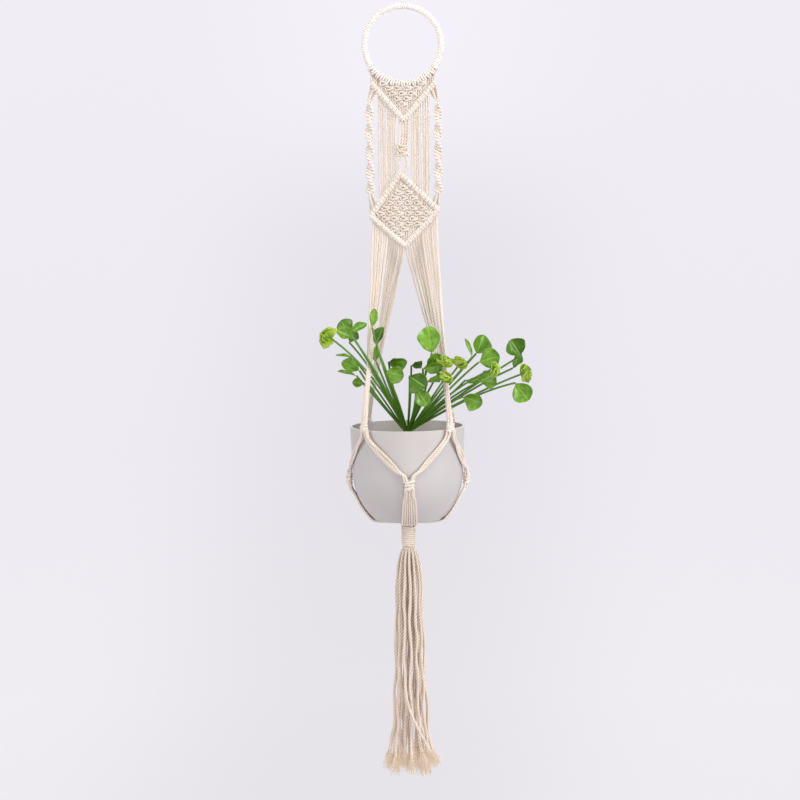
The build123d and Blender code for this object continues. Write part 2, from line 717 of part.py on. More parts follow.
# Each ruffled bud: its stem's bend, its middle, and its width
buds = [
    ((-40, -49, -479), (-101, -66, -434), 17),
    ((28, -35, -515), (55, -62, -471), 14),
    ((32, -34, -527), (55, -62, -492), 14),
    ((48, -14, -509), (74, -24, -476), 15),
    ((66, -10, -505), (120, -32, -482), 13),
    ((92, -4, -515), (161, -11, -490), 16),
]


def leaf_blade(base, tip, width, lean):
    """A thin heart-shaped blade, widest past its middle."""
    base, tip = Vector(*base), Vector(*tip)
    base += (tip - base).normalized() * stem_diameter * 0.4
    along = tip - base
    length = along.length
    towards = Vector(0, -1, 0).rotate(Axis((0, 0, 0), along), lean)
    across = along.cross(towards).normalized()
    normal = across.cross(along).normalized()
    place = Plane(origin=base, x_dir=along.normalized(), z_dir=normal)
    half = width / 2
    edge = [
        ThreePointArc((0, 0), (length * 0.35, half * 0.62), (length * 0.62, half)),
        ThreePointArc((length * 0.62, half), (length * 0.93, half * 0.62), (length, 0)),
        ThreePointArc((length, 0), (length * 0.93, -half * 0.62), (length * 0.62, -half)),
        ThreePointArc((length * 0.62, -half), (length * 0.35, -half * 0.62), (0, 0)),
    ]
    outline = make_face(Wire(edge))
    return extrude(place * outline, leaf_thickness / 2, both=True)


def make_plant():
    stem_base = Cylinder(stem_base_diameter / 2, stem_base_length)
    keep("plant_stem_base", Pos(0, 0, stem_base_top_z - stem_base_length / 2) * stem_base)
    stems = []
    seat_reach = stem_base_diameter / 2 - stem_diameter / 2

    def stem(bend, end):
        lean = Vector(bend[0], bend[1], 0)
        seat = lean.normalized() * seat_reach * min(1, lean.length / 50)
        run = Vector(*end) - Vector(*bend)
        stop = Vector(*bend) + run * (1 - 0.8 * stem_diameter / run.length)
        stems.append(tube([(seat.X, seat.Y, stem_base_top_z), bend, stop], "plant_stems", stem_diameter))

    for side, blades in leaves.items():
        made = []
        for bend, base, tip, width, lean in blades:
            stem(bend, base)
            made.append(leaf_blade(base, tip, width, lean))
        keep("leaves_" + side, made)
    heads = []
    for bend, middle, width in buds:
        stem(bend, middle)
        heads.append(Pos(*middle) * Sphere(width / 2))
    keep("leaf_buds", heads)
    ends_on = nodes["plant_stem_base"] + nodes["leaf_buds"]
    keep("plant_stems", [cut_back(s, *near(s, ends_on)) for s in stems])


make_ring()
make_bands()
make_nets()
make_panel()
make_pot()
make_sling()
make_tassel()
make_plant()

for name, solids in nodes.items():
    group = solids[0] if len(solids) == 1 else Compound(children=solids)
    export_step(group, "parts/" + name + ".step")

for name, radii in route_report.items():
    print(name, "arc radii", round(min(radii), 1), "to", round(max(radii), 1))
print(len(nodes), "nodes,", sum(len(s) for s in nodes.values()), "solids")
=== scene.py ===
import bpy
import random
from math import atan2, cos, degrees, hypot, pi, radians, sin, sqrt, tan
from mathutils import Matrix, Vector


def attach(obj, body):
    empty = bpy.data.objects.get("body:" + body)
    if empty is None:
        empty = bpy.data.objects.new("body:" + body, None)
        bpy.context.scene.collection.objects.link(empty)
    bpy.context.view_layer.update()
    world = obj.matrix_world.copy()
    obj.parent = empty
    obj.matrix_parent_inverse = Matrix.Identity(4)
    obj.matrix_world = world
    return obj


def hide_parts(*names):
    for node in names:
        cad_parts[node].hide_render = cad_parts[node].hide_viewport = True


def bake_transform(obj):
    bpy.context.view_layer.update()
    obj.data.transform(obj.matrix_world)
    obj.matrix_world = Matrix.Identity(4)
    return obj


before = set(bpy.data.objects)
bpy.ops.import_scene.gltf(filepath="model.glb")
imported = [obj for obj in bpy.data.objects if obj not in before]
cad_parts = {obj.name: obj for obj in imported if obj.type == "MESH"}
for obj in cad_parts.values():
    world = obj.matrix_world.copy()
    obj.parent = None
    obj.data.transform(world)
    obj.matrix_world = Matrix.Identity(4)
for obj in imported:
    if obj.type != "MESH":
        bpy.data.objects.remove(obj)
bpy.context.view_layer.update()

MM = 0.001


# ------------------------------------------------------------------ the room it hangs in
# A pale painted studio cove: a floor that curves up into walls all round, soft lamps on every side,
# and a long lens a little to the right of the planter and above its middle.
def linear(hex_colour):
    """An sRGB hex colour as linear red, green, blue and alpha."""
    parts = [int(hex_colour[i:i + 2], 16) / 255 for i in (0, 2, 4)]
    return [c / 12.92 if c <= 0.04045 else ((c + 0.055) / 1.055) ** 2.4 for c in parts] + [1.0]


def add(tree, kind, inputs=None, **settings):
    """Adds a node with its settings. Each input gets a plain value or a link, from a socket or from a
    node's first output."""
    made = tree.nodes.new(kind)
    for name, value in settings.items():
        setattr(made, name, value)
    for key, value in (inputs or {}).items():
        if isinstance(value, bpy.types.Node):
            value = value.outputs[0]
        if isinstance(value, bpy.types.NodeSocket):
            tree.links.new(value, made.inputs[key])
        else:
            made.inputs[key].default_value = value
    return made


def new_material(name):
    """A material, and its node tree, which holds only the output."""
    material = bpy.data.materials.new(name)
    material.use_nodes = True
    material.node_tree.nodes.clear()
    material.node_tree.nodes.new("ShaderNodeOutputMaterial")
    return material, material.node_tree


def cover(material, shader):
    """The material, with its shader joined to the output."""
    tree = material.node_tree
    tree.links.new(shader.outputs[0], tree.get_output_node("ALL").inputs["Surface"])
    return material


def new_object(name, data):
    """An object at the origin, from its finished mesh or other data."""
    thing = bpy.data.objects.new(name, data)
    bpy.context.scene.collection.objects.link(thing)
    return thing


camera_distance = 3.5
camera_azimuth = radians(3.8)
camera_height = radians(5.5)
camera_roll = radians(0.7)
camera_aim = Vector((-0.0095, 0, -0.5270))
view_width = 1.0896

forward = Vector((
    -sin(camera_azimuth) * cos(camera_height),
    cos(camera_azimuth) * cos(camera_height),
    -sin(camera_height),
))
level_right = Vector((cos(camera_azimuth), sin(camera_azimuth), 0))
level_up = level_right.cross(forward)
camera_right = level_right * cos(camera_roll) - level_up * sin(camera_roll)
camera_up = level_up * cos(camera_roll) + level_right * sin(camera_roll)
lens = bpy.data.cameras.new("long_lens")
lens.sensor_width = 36
lens.lens = 36 * camera_distance / view_width
camera = new_object("camera", lens)
turned = Matrix((camera_right, camera_up, -forward)).transposed().to_4x4()
camera.matrix_world = Matrix.Translation(camera_aim - forward * camera_distance) @ turned
bpy.context.scene.camera = camera
bpy.context.scene.view_settings.view_transform = "Standard"

cove_floor_z = -1.75
cove_flat = 2.6
cove_curve = 3.0
cove_sides, cove_steps = 96, 24
wash_top_z = 0.9
# where the painted shade and light on the wall behind the piece lie, and how strong they are
painted_shade_light_middle_x, painted_shade_light_half_width = -0.33, 0.95
painted_shade_light_heights, painted_shade_light_shares = (-0.6, 0.1), (-0.085, 0.04)
cove_profile = [(0.02, cove_floor_z), (1.0, cove_floor_z), (cove_flat, cove_floor_z)]
for n in range(1, cove_steps + 1):
    a = pi / 2 * n / cove_steps
    cove_profile.append((cove_flat + cove_curve * sin(a), cove_floor_z + cove_curve * (1 - cos(a))))
cove_points, cove_faces = [], []
for r, z in cove_profile:
    for s in range(cove_sides):
        a = 2 * pi * s / cove_sides
        cove_points.append((r * cos(a), r * sin(a), z))
for ring in range(len(cove_profile) - 1):
    for s in range(cove_sides):
        a, b = ring * cove_sides + s, ring * cove_sides + (s + 1) % cove_sides
        cove_faces.append((a, a + cove_sides, b + cove_sides, b))
cove_faces.append(tuple(range(cove_sides)))
cove_mesh = bpy.data.meshes.new("studio_cove")
cove_mesh.from_pydata(cove_points, [], cove_faces)
cove_mesh.shade_smooth()

# Matt emulsion in a pale lavender grey, which takes a soft shadow and is open from behind. The camera
# sees mostly a painted glow, a little lighter towards the top, with painted shade on the wall behind
# the piece, as if it kept some light off, and painted light above it, where the lamps overlap.
emulsion, tree = new_material("matt_emulsion")
matt = add(tree, "ShaderNodeBsdfDiffuse", {"Color": linear("D2D0D5"), "Roughness": 1.0})
place = add(tree, "ShaderNodeTexCoord").outputs["Object"]
wall = add(tree, "ShaderNodeSeparateXYZ", {"Vector": place}).outputs
# the glow's colour by height: painted light, a little lighter towards the top
level = add(tree, "ShaderNodeMapRange", {
    "Value": wall["Z"], "From Min": cove_floor_z, "From Max": wash_top_z})
wash = add(tree, "ShaderNodeValToRGB", {"Fac": level})
ramp = wash.color_ramp.elements
for stop, (at, tone) in enumerate([
    (0.0, "F0EDF3"), (1.0, "F5F2F9"), (0.04, "F2EFF5"), (0.25, "F1EEF5"), (0.6, "F3F0F7"),
]):
    entry = ramp[stop] if stop < 2 else ramp.new(at)
    entry.position = at
    entry.color = linear(tone)
# painted shade and light: darker behind the piece low down, as its shadow, and lighter above it, where
# the lamps overlap
from_middle = add(tree, "ShaderNodeMath", {0: wall["X"], 1: painted_shade_light_middle_x}, operation="SUBTRACT")
beside = add(tree, "ShaderNodeMath", {0: from_middle}, operation="ABSOLUTE")
near = add(tree, "ShaderNodeMapRange", {
    "Value": beside, "From Max": painted_shade_light_half_width, "To Min": 1.0, "To Max": 0.0},
    interpolation_type="SMOOTHERSTEP")
fall = add(tree, "ShaderNodeMapRange", {
    "Value": wall["Z"], "From Min": painted_shade_light_heights[0], "From Max": painted_shade_light_heights[1],
    "To Min": painted_shade_light_shares[0], "To Max": painted_shade_light_shares[1]}, interpolation_type="SMOOTHSTEP")
painted_shade_and_light = add(tree, "ShaderNodeMath", {0: near, 1: fall, 2: 1.0}, operation="MULTIPLY_ADD")
wash_with_painted_shade_light = add(tree, "ShaderNodeVectorMath", {0: wash, "Scale": painted_shade_and_light}, operation="SCALE")
# the camera sees mostly this glow, painted light in place of the wall's lit face
glow = add(tree, "ShaderNodeEmission", {"Color": wash_with_painted_shade_light, "Strength": 1.0})
rays = add(tree, "ShaderNodeLightPath").outputs
mostly = add(tree, "ShaderNodeMath", {0: rays["Is Camera Ray"], 1: 0.94}, operation="MULTIPLY")
seen = add(tree, "ShaderNodeMath", {0: mostly, 1: rays["Is Glossy Ray"]}, operation="MAXIMUM")
face = add(tree, "ShaderNodeMixShader", {0: seen, 1: matt, 2: glow})
side = add(tree, "ShaderNodeNewGeometry")
clear = add(tree, "ShaderNodeBsdfTransparent")
one_sided = add(tree, "ShaderNodeMixShader", {0: side.outputs["Backfacing"], 1: face, 2: clear})
cove_mesh.materials.append(cover(emulsion, one_sided))
cove = new_object("studio_cove", cove_mesh)

world = bpy.data.worlds.new("soft_room_light")
world.use_nodes = True
world.node_tree.nodes["Background"].inputs["Color"].default_value = linear("F4F4F8")
world.node_tree.nodes["Background"].inputs["Strength"].default_value = 0.56
bpy.context.scene.world = world

for name, at, size, power, tone in [
    ("overhead_lamp", (0.6, -1.4, 2.4), 2.0, 47, "FFFCF8"),
    ("left_lamp", (-2.6, -1.3, 0.4), 1.6, 38, "FFFDFC"),
    ("right_lamp", (2.6, -1.3, 0.3), 1.6, 59, "FDFCFD"),
    ("low_lamp", (0.5, -2.0, -1.6), 1.2, 19, "FFF8F2"),
    ("back_lamp", (0.3, 2.4, 1.0), 1.8, 32, "FFFFFF"),
]:
    soft_box = bpy.data.lights.new(name, "AREA")
    soft_box.size = size
    soft_box.energy = power
    soft_box.color = linear(tone)[:3]
    lamp = new_object(name, soft_box)
    towards = (Vector((0, 0, -0.5)) - Vector(at)).to_track_quat("-Z", "Y")
    lamp.matrix_world = Matrix.Translation(at) @ towards.to_matrix().to_4x4()


# ------------------------------------------------------------------ laid cotton cord
# The whole hanger is tied from one soft natural cotton cord, of three strands laid together. A tree
# turns any route into such a cord: its section has three lobes, and turns once in each lay.
cord = 3.0
cord_lay = 3.3 * cord              # length in which a strand goes round once
cord_pitch = 3.16                  # cords lying side by side
strands_in_cord = 3
# what is drawn of each cord: loose cotton swells past its 3 mm, and a hard-pulled turn is thinner
winding_cord, lark_cord, hitch_cord, net_cord = 3.35, 3.4, 3.1, 3.6
sinnet_cord, centre_cord, middle_knot_cord, bundle_cord = 4.2, 3.9, 4.4, 3.6
collar_cord, leg_cord, net_knot_cord, under_cord = 3.9, 3.5, 4.1, 3.3
wrap_cord, strand_cord = 2.9, 4.2


def laid_cord_tree():
    tree = bpy.data.node_groups.new("laid_cotton_cord", "GeometryNodeTree")
    for name, kind in [
        ("Geometry", "Geometry"), ("Diameter", "Float"), ("Lay", "Float"), ("Step", "Float"),
        ("Lobe depth", "Float"), ("Sides", "Int"), ("Material", "Material"),
    ]:
        tree.interface.new_socket(name, in_out="INPUT", socket_type="NodeSocket" + kind)
    tree.interface.new_socket("Geometry", in_out="OUTPUT", socket_type="NodeSocketGeometry")

    given = add(tree, "NodeGroupInput").outputs
    route = add(tree, "GeometryNodeResampleCurve", {
        "Curve": given["Geometry"], "Length": given["Step"]}, mode="LENGTH")
    travelled = add(tree, "GeometryNodeSplineParameter").outputs["Length"]
    turns = add(tree, "ShaderNodeMath", {0: travelled, 1: given["Lay"]}, operation="DIVIDE")
    wound = add(tree, "GeometryNodeCaptureAttribute", {"Geometry": route})
    wound.capture_items.new("FLOAT", "Turns")
    tree.links.new(turns.outputs[0], wound.inputs["Turns"])
    index = add(tree, "GeometryNodeInputIndex")
    numbered = add(tree, "GeometryNodeCaptureAttribute", {"Geometry": wound}, domain="CURVE")
    numbered.capture_items.new("INT", "Cord")
    tree.links.new(index.outputs[0], numbered.inputs["Cord"])
    tilt = add(tree, "ShaderNodeMath", {0: turns, 1: 2 * pi}, operation="MULTIPLY")
    laid = add(tree, "GeometryNodeSetCurveTilt", {"Curve": numbered, "Tilt": tilt})

    # the section: a circle that dips three times towards its middle
    radius = add(tree, "ShaderNodeMath", {0: given["Diameter"], 1: 0.5}, operation="MULTIPLY")
    section = add(tree, "GeometryNodeCurvePrimitiveCircle", {
        "Resolution": given["Sides"], "Radius": radius})
    round_it = add(tree, "GeometryNodeSplineParameter").outputs["Factor"]
    thrice = add(tree, "ShaderNodeMath", {
        0: round_it, 1: 2 * pi * strands_in_cord}, operation="MULTIPLY")
    wave = add(tree, "ShaderNodeMath", {0: thrice}, operation="COSINE")
    dip = add(tree, "ShaderNodeMapRange", {
        "Value": wave, "From Min": 1.0, "From Max": -1.0, "To Max": given["Lobe depth"]})
    share = add(tree, "ShaderNodeMath", {0: 1.0, 1: dip}, operation="SUBTRACT")
    spot = add(tree, "GeometryNodeInputPosition")
    drawn_in = add(tree, "ShaderNodeVectorMath", {0: spot, "Scale": share}, operation="SCALE")
    lobed = add(tree, "GeometryNodeSetPosition", {"Geometry": section, "Position": drawn_in})
    size = add(tree, "ShaderNodeMath", {0: 1.0, 1: radius}, operation="DIVIDE")
    unit = add(tree, "ShaderNodeVectorMath", {0: spot, "Scale": size}, operation="SCALE")
    across = add(tree, "GeometryNodeCaptureAttribute", {"Geometry": lobed})
    across.capture_items.new("VECTOR", "Section")
    tree.links.new(unit.outputs[0], across.inputs["Section"])

    skin = add(tree, "GeometryNodeCurveToMesh", {
        "Curve": laid, "Profile Curve": across, "Fill Caps": True})
    parts = add(tree, "ShaderNodeSeparateXYZ", {"Vector": across.outputs["Section"]}).outputs
    lay = add(tree, "ShaderNodeCombineXYZ", {
        "X": parts["X"], "Y": parts["Y"], "Z": wound.outputs["Turns"]})
    fibres = add(tree, "GeometryNodeStoreNamedAttribute", {
        "Geometry": skin, "Name": "lay", "Value": lay}, data_type="FLOAT_VECTOR", domain="POINT")
    tone = add(tree, "FunctionNodeRandomValue", {"ID": numbered.outputs["Cord"], "Seed": 7})
    toned = add(tree, "GeometryNodeStoreNamedAttribute", {
        "Geometry": fibres, "Name": "cord_tone", "Value": tone.outputs[1]},
        data_type="FLOAT", domain="POINT")
    smooth = add(tree, "GeometryNodeSetShadeSmooth", {"Geometry": toned})
    real = add(tree, "GeometryNodeRealizeInstances", {"Geometry": smooth})
    dressed = add(tree, "GeometryNodeSetMaterial", {"Geometry": real, "Material": given["Material"]})
    add(tree, "NodeGroupOutput", {"Geometry": dressed})
    return tree


# Natural cotton: matt and creamy, with fine fibres that run along it, and painted shade that makes it
# a little darker and warmer between the strands. The fibres are drawn three times too coarse, or they
# wouldn't show. The glow is
# painted light: a faint emission that stands for light passed on from fibre to fibre.
def natural_cotton(name, painted_hollow_shade, crown, seen_through, painted_glow):
    material, tree = new_material(name)
    lay = add(tree, "ShaderNodeAttribute", attribute_name="lay").outputs["Vector"]
    tone = add(tree, "ShaderNodeAttribute", attribute_name="cord_tone").outputs["Fac"]
    parts = add(tree, "ShaderNodeSeparateXYZ", {"Vector": lay}).outputs
    flat = add(tree, "ShaderNodeCombineXYZ", {"X": parts["X"], "Y": parts["Y"]})
    off_middle = add(tree, "ShaderNodeVectorMath", {0: flat}, operation="LENGTH").outputs["Value"]
    # painted shade: the hollow tone in the grooves between the strands, the crown tone on their crests
    groove_shade_mix = add(tree, "ShaderNodeMapRange", {"Value": off_middle, "From Min": 0.74, "From Max": 0.94})
    drawn = add(tree, "ShaderNodeVectorMath", {0: lay, 1: (3.5, 3.5, 1.1)}, operation="MULTIPLY")
    fibre = add(tree, "ShaderNodeTexNoise", {"Vector": drawn, "Scale": 2.4, "Detail": 3.0})
    cream_with_groove_shade = add(tree, "ShaderNodeMix", {
        0: groove_shade_mix, 6: linear(painted_hollow_shade), 7: linear(crown)}, data_type="RGBA").outputs[2]
    by_cord = add(tree, "ShaderNodeMix", {
        0: tone, 6: linear("F9F3EC"), 7: linear("FFFFFF")}, data_type="RGBA").outputs[2]
    toned = add(tree, "ShaderNodeMix", {
        0: 1.0, 6: cream_with_groove_shade, 7: by_cord}, data_type="RGBA", blend_type="MULTIPLY").outputs[2]
    fleck = add(tree, "ShaderNodeMapRange", {
        "Value": fibre, "From Min": 0.3, "From Max": 0.7, "To Min": 0.9, "To Max": 1.04})
    colour = add(tree, "ShaderNodeVectorMath", {0: toned, "Scale": fleck}, operation="SCALE")
    fuzz = add(tree, "ShaderNodeBump", {"Height": fibre, "Strength": 0.5, "Distance": 0.15 * MM})
    # the emission is a painted glow
    lit = add(tree, "ShaderNodeBsdfPrincipled", {
        "Base Color": colour, "Normal": fuzz, "Roughness": 0.9, "Sheen Weight": 0.15,
        "Sheen Roughness": 0.5, "IOR": 1.53, "Specular IOR Level": 0.2,
        "Emission Color": linear(crown), "Emission Strength": painted_glow})
    through = add(tree, "ShaderNodeBsdfTranslucent", {"Color": colour})
    return cover(material, add(tree, "ShaderNodeMixShader", {0: seen_through, 1: lit, 2: through}))


laid_cord = laid_cord_tree()
# the first tone is painted shade in the hollows, the second the crests' own cream
cotton = natural_cotton(
    "natural_cotton_laid", "DCCBB8", "FFFBF6", seen_through=0.12, painted_glow=0.025)
# the tassel's cords and their wrap get a darker, warmer tone and a fainter glow: painted shade, where
# they hang in the pot's shadow and among each other
warm_shaded_cotton = natural_cotton(
    "natural_cotton_loose", "D0B8A2", "FFF6EC", seen_through=0.12, painted_glow=0.01)


def spline_curve(name, routes):
    """A curve with a smooth NURBS spline on each route's points, which are in millimetres."""
    curve = bpy.data.curves.new(name, "CURVE")
    curve.dimensions = "3D"
    curve.resolution_u = 6
    for route in routes:
        points = [Vector(p) * MM for p in route]
        if len(points) == 2:
            points.insert(1, (points[0] + points[1]) / 2)
        spline = curve.splines.new("NURBS")
        spline.points.add(len(points) - 1)
        for there, p in zip(spline.points, points):
            there.co = (*p, 1)
        spline.order_u = 3
        spline.use_endpoint_u = True
    return curve


def spline_points(name, route):
    """The smooth line of one route, as closely spaced points in metres."""
    line = new_object(name, spline_curve(name, [route]))
    bpy.context.view_layer.update()
    mesh = bpy.data.meshes.new_from_object(line)
    points = [v.co.copy() for v in mesh.vertices]
    bpy.data.objects.remove(line)
    return points


def run_tree(name, start, tree, **values):
    """A plain mesh object from a Geometry Nodes tree run on start, with its named inputs set."""
    source = new_object(name + "_source", start)
    maker = source.modifiers.new("maker", "NODES")
    maker.node_group = tree
    for item in tree.interface.items_tree:
        key = item.name.replace(" ", "_").lower()
        if item.in_out == "INPUT" and key in values:
            maker[item.identifier] = values[key]
    bpy.context.view_layer.update()
    ready = source.evaluated_get(bpy.context.evaluated_depsgraph_get())
    mesh = bpy.data.meshes.new_from_object(ready)
    source.modifiers.remove(maker)
    bpy.data.objects.remove(source)
    mesh.name = name
    return new_object(name, mesh)


def stand_in(piece, body, nodes):
    """A piece that rides on a body, in place of the CAD's nodes."""
    if body:
        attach(piece, body)
    if nodes:
        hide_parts(*nodes)
    return piece


def lay_cords(name, routes, body=None, replaced=(), diameter=cord, step=1.2, lobe_depth=0.26,
              material=cotton):
    """Cords along the routes, as one piece, which rides on the body if one is given."""
    piece = run_tree(
        name, spline_curve(name, routes), laid_cord, diameter=diameter * MM,
        lay=cord_lay * diameter / cord * MM, step=step * MM, lobe_depth=lobe_depth, sides=12,
        material=material)
    return stand_in(piece, body, replaced)


# ------------------------------------------------------------------ ring
# A welded wire hoop, closely wound with the cord except over the lower third, where doubled cords
# are tied on with lark's heads: two wraps in front of the wire, and their bight across the back.
wire = 2.5
wrapped = wire + 2 * cord
ring_opening = 95.0
ring_radius = (ring_opening + wrapped) / 2
ring_centre = Vector((0, 0, -ring_opening / 2))
lark_pairs = 14
lark_spread = 112.0                # degrees of the ring
winding_pitch = 2.95
seat = (wire + cord) / 2           # from the wire's middle to the middle of a cord wound on it
front = Vector((0, -1, 0))


def on_ring(angle, around, reach):
    """A point off the wire: angle from the ring's lowest point towards +X; around its section, 0 is
    outwards, 90 in front, 180 inside the ring and 270 behind."""
    outwards = Vector((sin(radians(angle)), 0, -cos(radians(angle))))
    middle = ring_centre + outwards * ring_radius
    turn = radians(around)
    return middle + (outwards * cos(turn) + front * sin(turn)) * reach


points_per_turn = 10
hull = 1 / cos(pi / points_per_turn)     # a smooth line runs this much inside the points of a turn
wound_arc = 360 - lark_spread
turns = radians(wound_arc) * ring_radius / winding_pitch
winding = []
for n in range(int(turns * points_per_turn)):
    t = n / (turns * points_per_turn)
    winding.append(on_ring(lark_spread / 2 + wound_arc * t, 360 * n / points_per_turn, seat * hull))
lay_cords("hoop_winding", [winding], "ring", ["hoop_wrap"], diameter=winding_cord, step=0.9,
          lobe_depth=0.06)

step_angle = lark_spread / lark_pairs
larks = []
for n in range(lark_pairs):
    middle = -lark_spread / 2 + (n + 0.5) * step_angle
    half = []
    for around, reach, across in [
        (322, 8.2, 1.5), (300, 4.6, 1.5), (270, 3.1, 1.5), (215, 3.3, 1.6), (160, 3.3, 1.75),
        (110, 3.2, 1.8), (60, 3.2, 1.85), (15, 3.6, 2.2), (340, 4.9, 2.75), (318, 6.0, 2.2),
    ]:
        half.append((around, reach, across))
    left = [on_ring(middle - degrees(c / ring_radius), a, r) for a, r, c in half]
    right = [on_ring(middle + degrees(c / ring_radius), a, r) for a, r, c in reversed(half)]
    larks.append(left + right)
lay_cords("larks_heads_tied", larks, "ring", ["larks_heads"], diameter=lark_cord, step=0.9,
          lobe_depth=0.12)


# ------------------------------------------------------------------ nets of square knots
# Two nets of alternating square knots, each over four cords: the outer two tie round the inner two,
# and the next row shares them out afresh. One fills the header's V, the other the diamond.
header_half_width = 42.7
header_top_z = -98.5
header_apex = (0.0, -147.5)
header_ends = {
    "left": ((-header_half_width, header_top_z), header_apex),
    "right": ((header_half_width, header_top_z), header_apex),
}
diamond_top, diamond_left = (-6.0, -220.0), (-45.8, -277.0)
diamond_right, diamond_bottom = (45.8, -269.0), (0.0, -317.0)
diamond_ends = {
    "upper_left": (diamond_top, diamond_left), "upper_right": (diamond_top, diamond_right),
    "lower_left": (diamond_left, diamond_bottom), "lower_right": (diamond_right, diamond_bottom),
}
cord_count = 2 * lark_pairs
band_diameter = 7.8
net_row = 7.0
knot_height = 6.3
band_clearance = band_diameter / 2 + knot_height * 0.4

# the two working cords of one square knot, as shares of its half width, front reach and half height
first_worker = [
    (-1, 0, 1), (-0.92, 0.7, 0.86), (-0.45, 1.05, 0.7), (0.4, 1.05, 0.36), (0.98, 0.4, 0.2),
    (1.1, -0.2, 0.0), (0.92, 0.55, -0.2), (0.4, 1.05, -0.36), (-0.45, 1.05, -0.7), (-0.95, 0.4, -0.86),
    (-1, 0, -1),
]
second_worker = [
    (1, 0, 1), (1.08, 0.95, 0.7), (1.02, 0.35, 0.2), (0.42, -1, 0.42), (-0.42, -1, 0.42),
    (-1, -0.3, 0.36), (-1.14, 0.8, 0.22), (-1.06, 0.95, -0.25), (-0.98, 0.0, -0.55),
    (-0.42, -1, -0.5), (0.42, -1, -0.5), (1, -0.2, -0.5), (1.1, 0.6, -0.7), (1, 0, -1),
]


def cord_x(n):
    """Place across the panel of cord n, counted from the left."""
    return (n - (cord_count - 1) / 2) * cord_pitch


def band_z(x, ends):
    (x0, z0), (x1, z1) = ends
    return z0 + (z1 - z0) * (x - x0) / (x1 - x0)


def header_z(x):
    """Height of the header's V at a place across the panel."""
    return band_z(x, header_ends["left" if x < 0 else "right"])


def diamond_z(x):
    """Heights of the diamond's lower and upper band at a place across the panel."""
    upper = diamond_ends["upper_left" if x < diamond_top[0] else "upper_right"]
    lower = diamond_ends["lower_left" if x < diamond_bottom[0] else "lower_right"]
    return band_z(x, lower), band_z(x, upper)


def off_line(x, z, ends):
    """Distance of a point from a band's middle line."""
    (x0, z0), (x1, z1) = ends
    return abs((x1 - x0) * (z0 - z) - (x0 - x) * (z1 - z0)) / hypot(x1 - x0, z1 - z0)


def net_cords(tops, bottoms, inside, first_z):
    """Every cord of a net, from its top to its bottom, through each knot that it ties or fills."""
    routes = [[tops[n]] for n in range(cord_count)]
    row, z = 0, first_z
    while z > min(p[2] for p in bottoms):
        for n in range(0 if row % 2 == 0 else 2, cord_count - 3, 4):
            middle = (cord_x(n) + cord_x(n + 3)) / 2
            if not inside(middle, z):
                continue
            half_width, reach = 1.5 * cord_pitch, 2.6
            for worker, route in ((first_worker, routes[n]), (second_worker, routes[n + 3])):
                for u, v, w in worker:
                    route.append((middle + u * half_width, -v * reach, z + w * knot_height / 2))
            for core in (n + 1, n + 2):
                for w in (1, 0, -1):
                    routes[core].append((cord_x(core), 0, z + w * knot_height / 2))
        row += 1
        z -= net_row
    for route, foot in zip(routes, bottoms):
        route.append(foot)
    return routes


def in_header(x, z):
    ends = header_ends["left" if x < 0 else "right"]
    if z < header_z(x) or off_line(x, z, ends) < band_clearance:
        return False
    return hypot(x, z - ring_centre.z) > ring_radius + wrapped / 2 + 0.9


def in_diamond(x, z):
    if not diamond_left[0] < x < diamond_right[0]:
        return False
    lower, upper = diamond_z(x)
    if not lower < z < upper:
        return False
    nearest = min(off_line(x, z, e) for e in diamond_ends.values())
    return nearest > band_clearance


tops, bottoms = [], []
for n in range(cord_count):
    x = cord_x(n)
    lark = -lark_spread / 2 + (n // 2 + 0.5) * step_angle
    side = -1.5 if n % 2 == 0 else 1.5
    tops.append(on_ring(lark + degrees(side / ring_radius), 302, 4.9))
    bottoms.append(Vector((x, 0, header_z(x))))
header = net_cords(tops, bottoms, in_header, header_top_z)
below_ring = ring_radius + wrapped / 2 + 4
for n, route in enumerate(header):
    below = Vector((cord_x(n), 0.6, ring_centre.z - sqrt(below_ring ** 2 - cord_x(n) ** 2)))
    route.insert(1, tops[n] + Vector((0, 0, -3.4)))
    if below.z > route[-1][2] + 2:
        route.insert(2, below)
header_net = lay_cords(
    "header_net_tied", header, None, ["header_net", "header_cords"], diameter=net_cord)
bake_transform(header_net)

tops, bottoms = [], []
for n in range(cord_count):
    x = cord_x(n)
    lower, upper = diamond_z(x)
    tops.append(Vector((x, 0, upper)))
    bottoms.append(Vector((x, 0, lower)))
diamond = net_cords(tops, bottoms, in_diamond, header_top_z)
diamond = [r for r in diamond if r[0][2] - r[-1][2] > band_diameter]
lay_cords("diamond_net_tied", diamond, "panel", ["diamond_net", "diamond_cords"], diameter=net_cord)


# ------------------------------------------------------------------ hitched bands
# Each band is a holding cord, and every hanging cord is tied over it with a double half hitch: two
# turns side by side. The two bands of the header meet in a V, and four close the diamond.
band_proud = 1.0                   # the bands stand in front of the nets
hitch_from, hitch_to = -30, 550    # degrees round the holding cord
hitch_swell = 0.8


def hitched_band(name, ends, count, replaced):
    (x0, z0), (x1, z1) = ends
    start, end = Vector((x0, -band_proud, z0)), Vector((x1, -band_proud, z1))
    along = (end - start).normalized()
    above = Vector((-along.z, 0, along.x))
    if above.z < 0:
        above = -above
    pitch = (end - start).length / count
    reach = (band_diameter + hitch_swell - hitch_cord) / 2
    routes = [[start - along * 1.5, end + along * 0.5]]
    for n in range(count):
        route = []
        turned = hitch_from
        while turned <= hitch_to:
            share = (turned - hitch_from) / (hitch_to - hitch_from)
            spot = start + along * pitch * (n + 0.5 + (share - 0.5) * 0.98)
            a = radians(turned)
            route.append(spot + (above * cos(a) + front * sin(a)) * reach * hull)
            turned += 360 / points_per_turn
        routes.append(route)
    return lay_cords(name, routes, "panel", replaced, diameter=hitch_cord, step=0.9, lobe_depth=0.16)


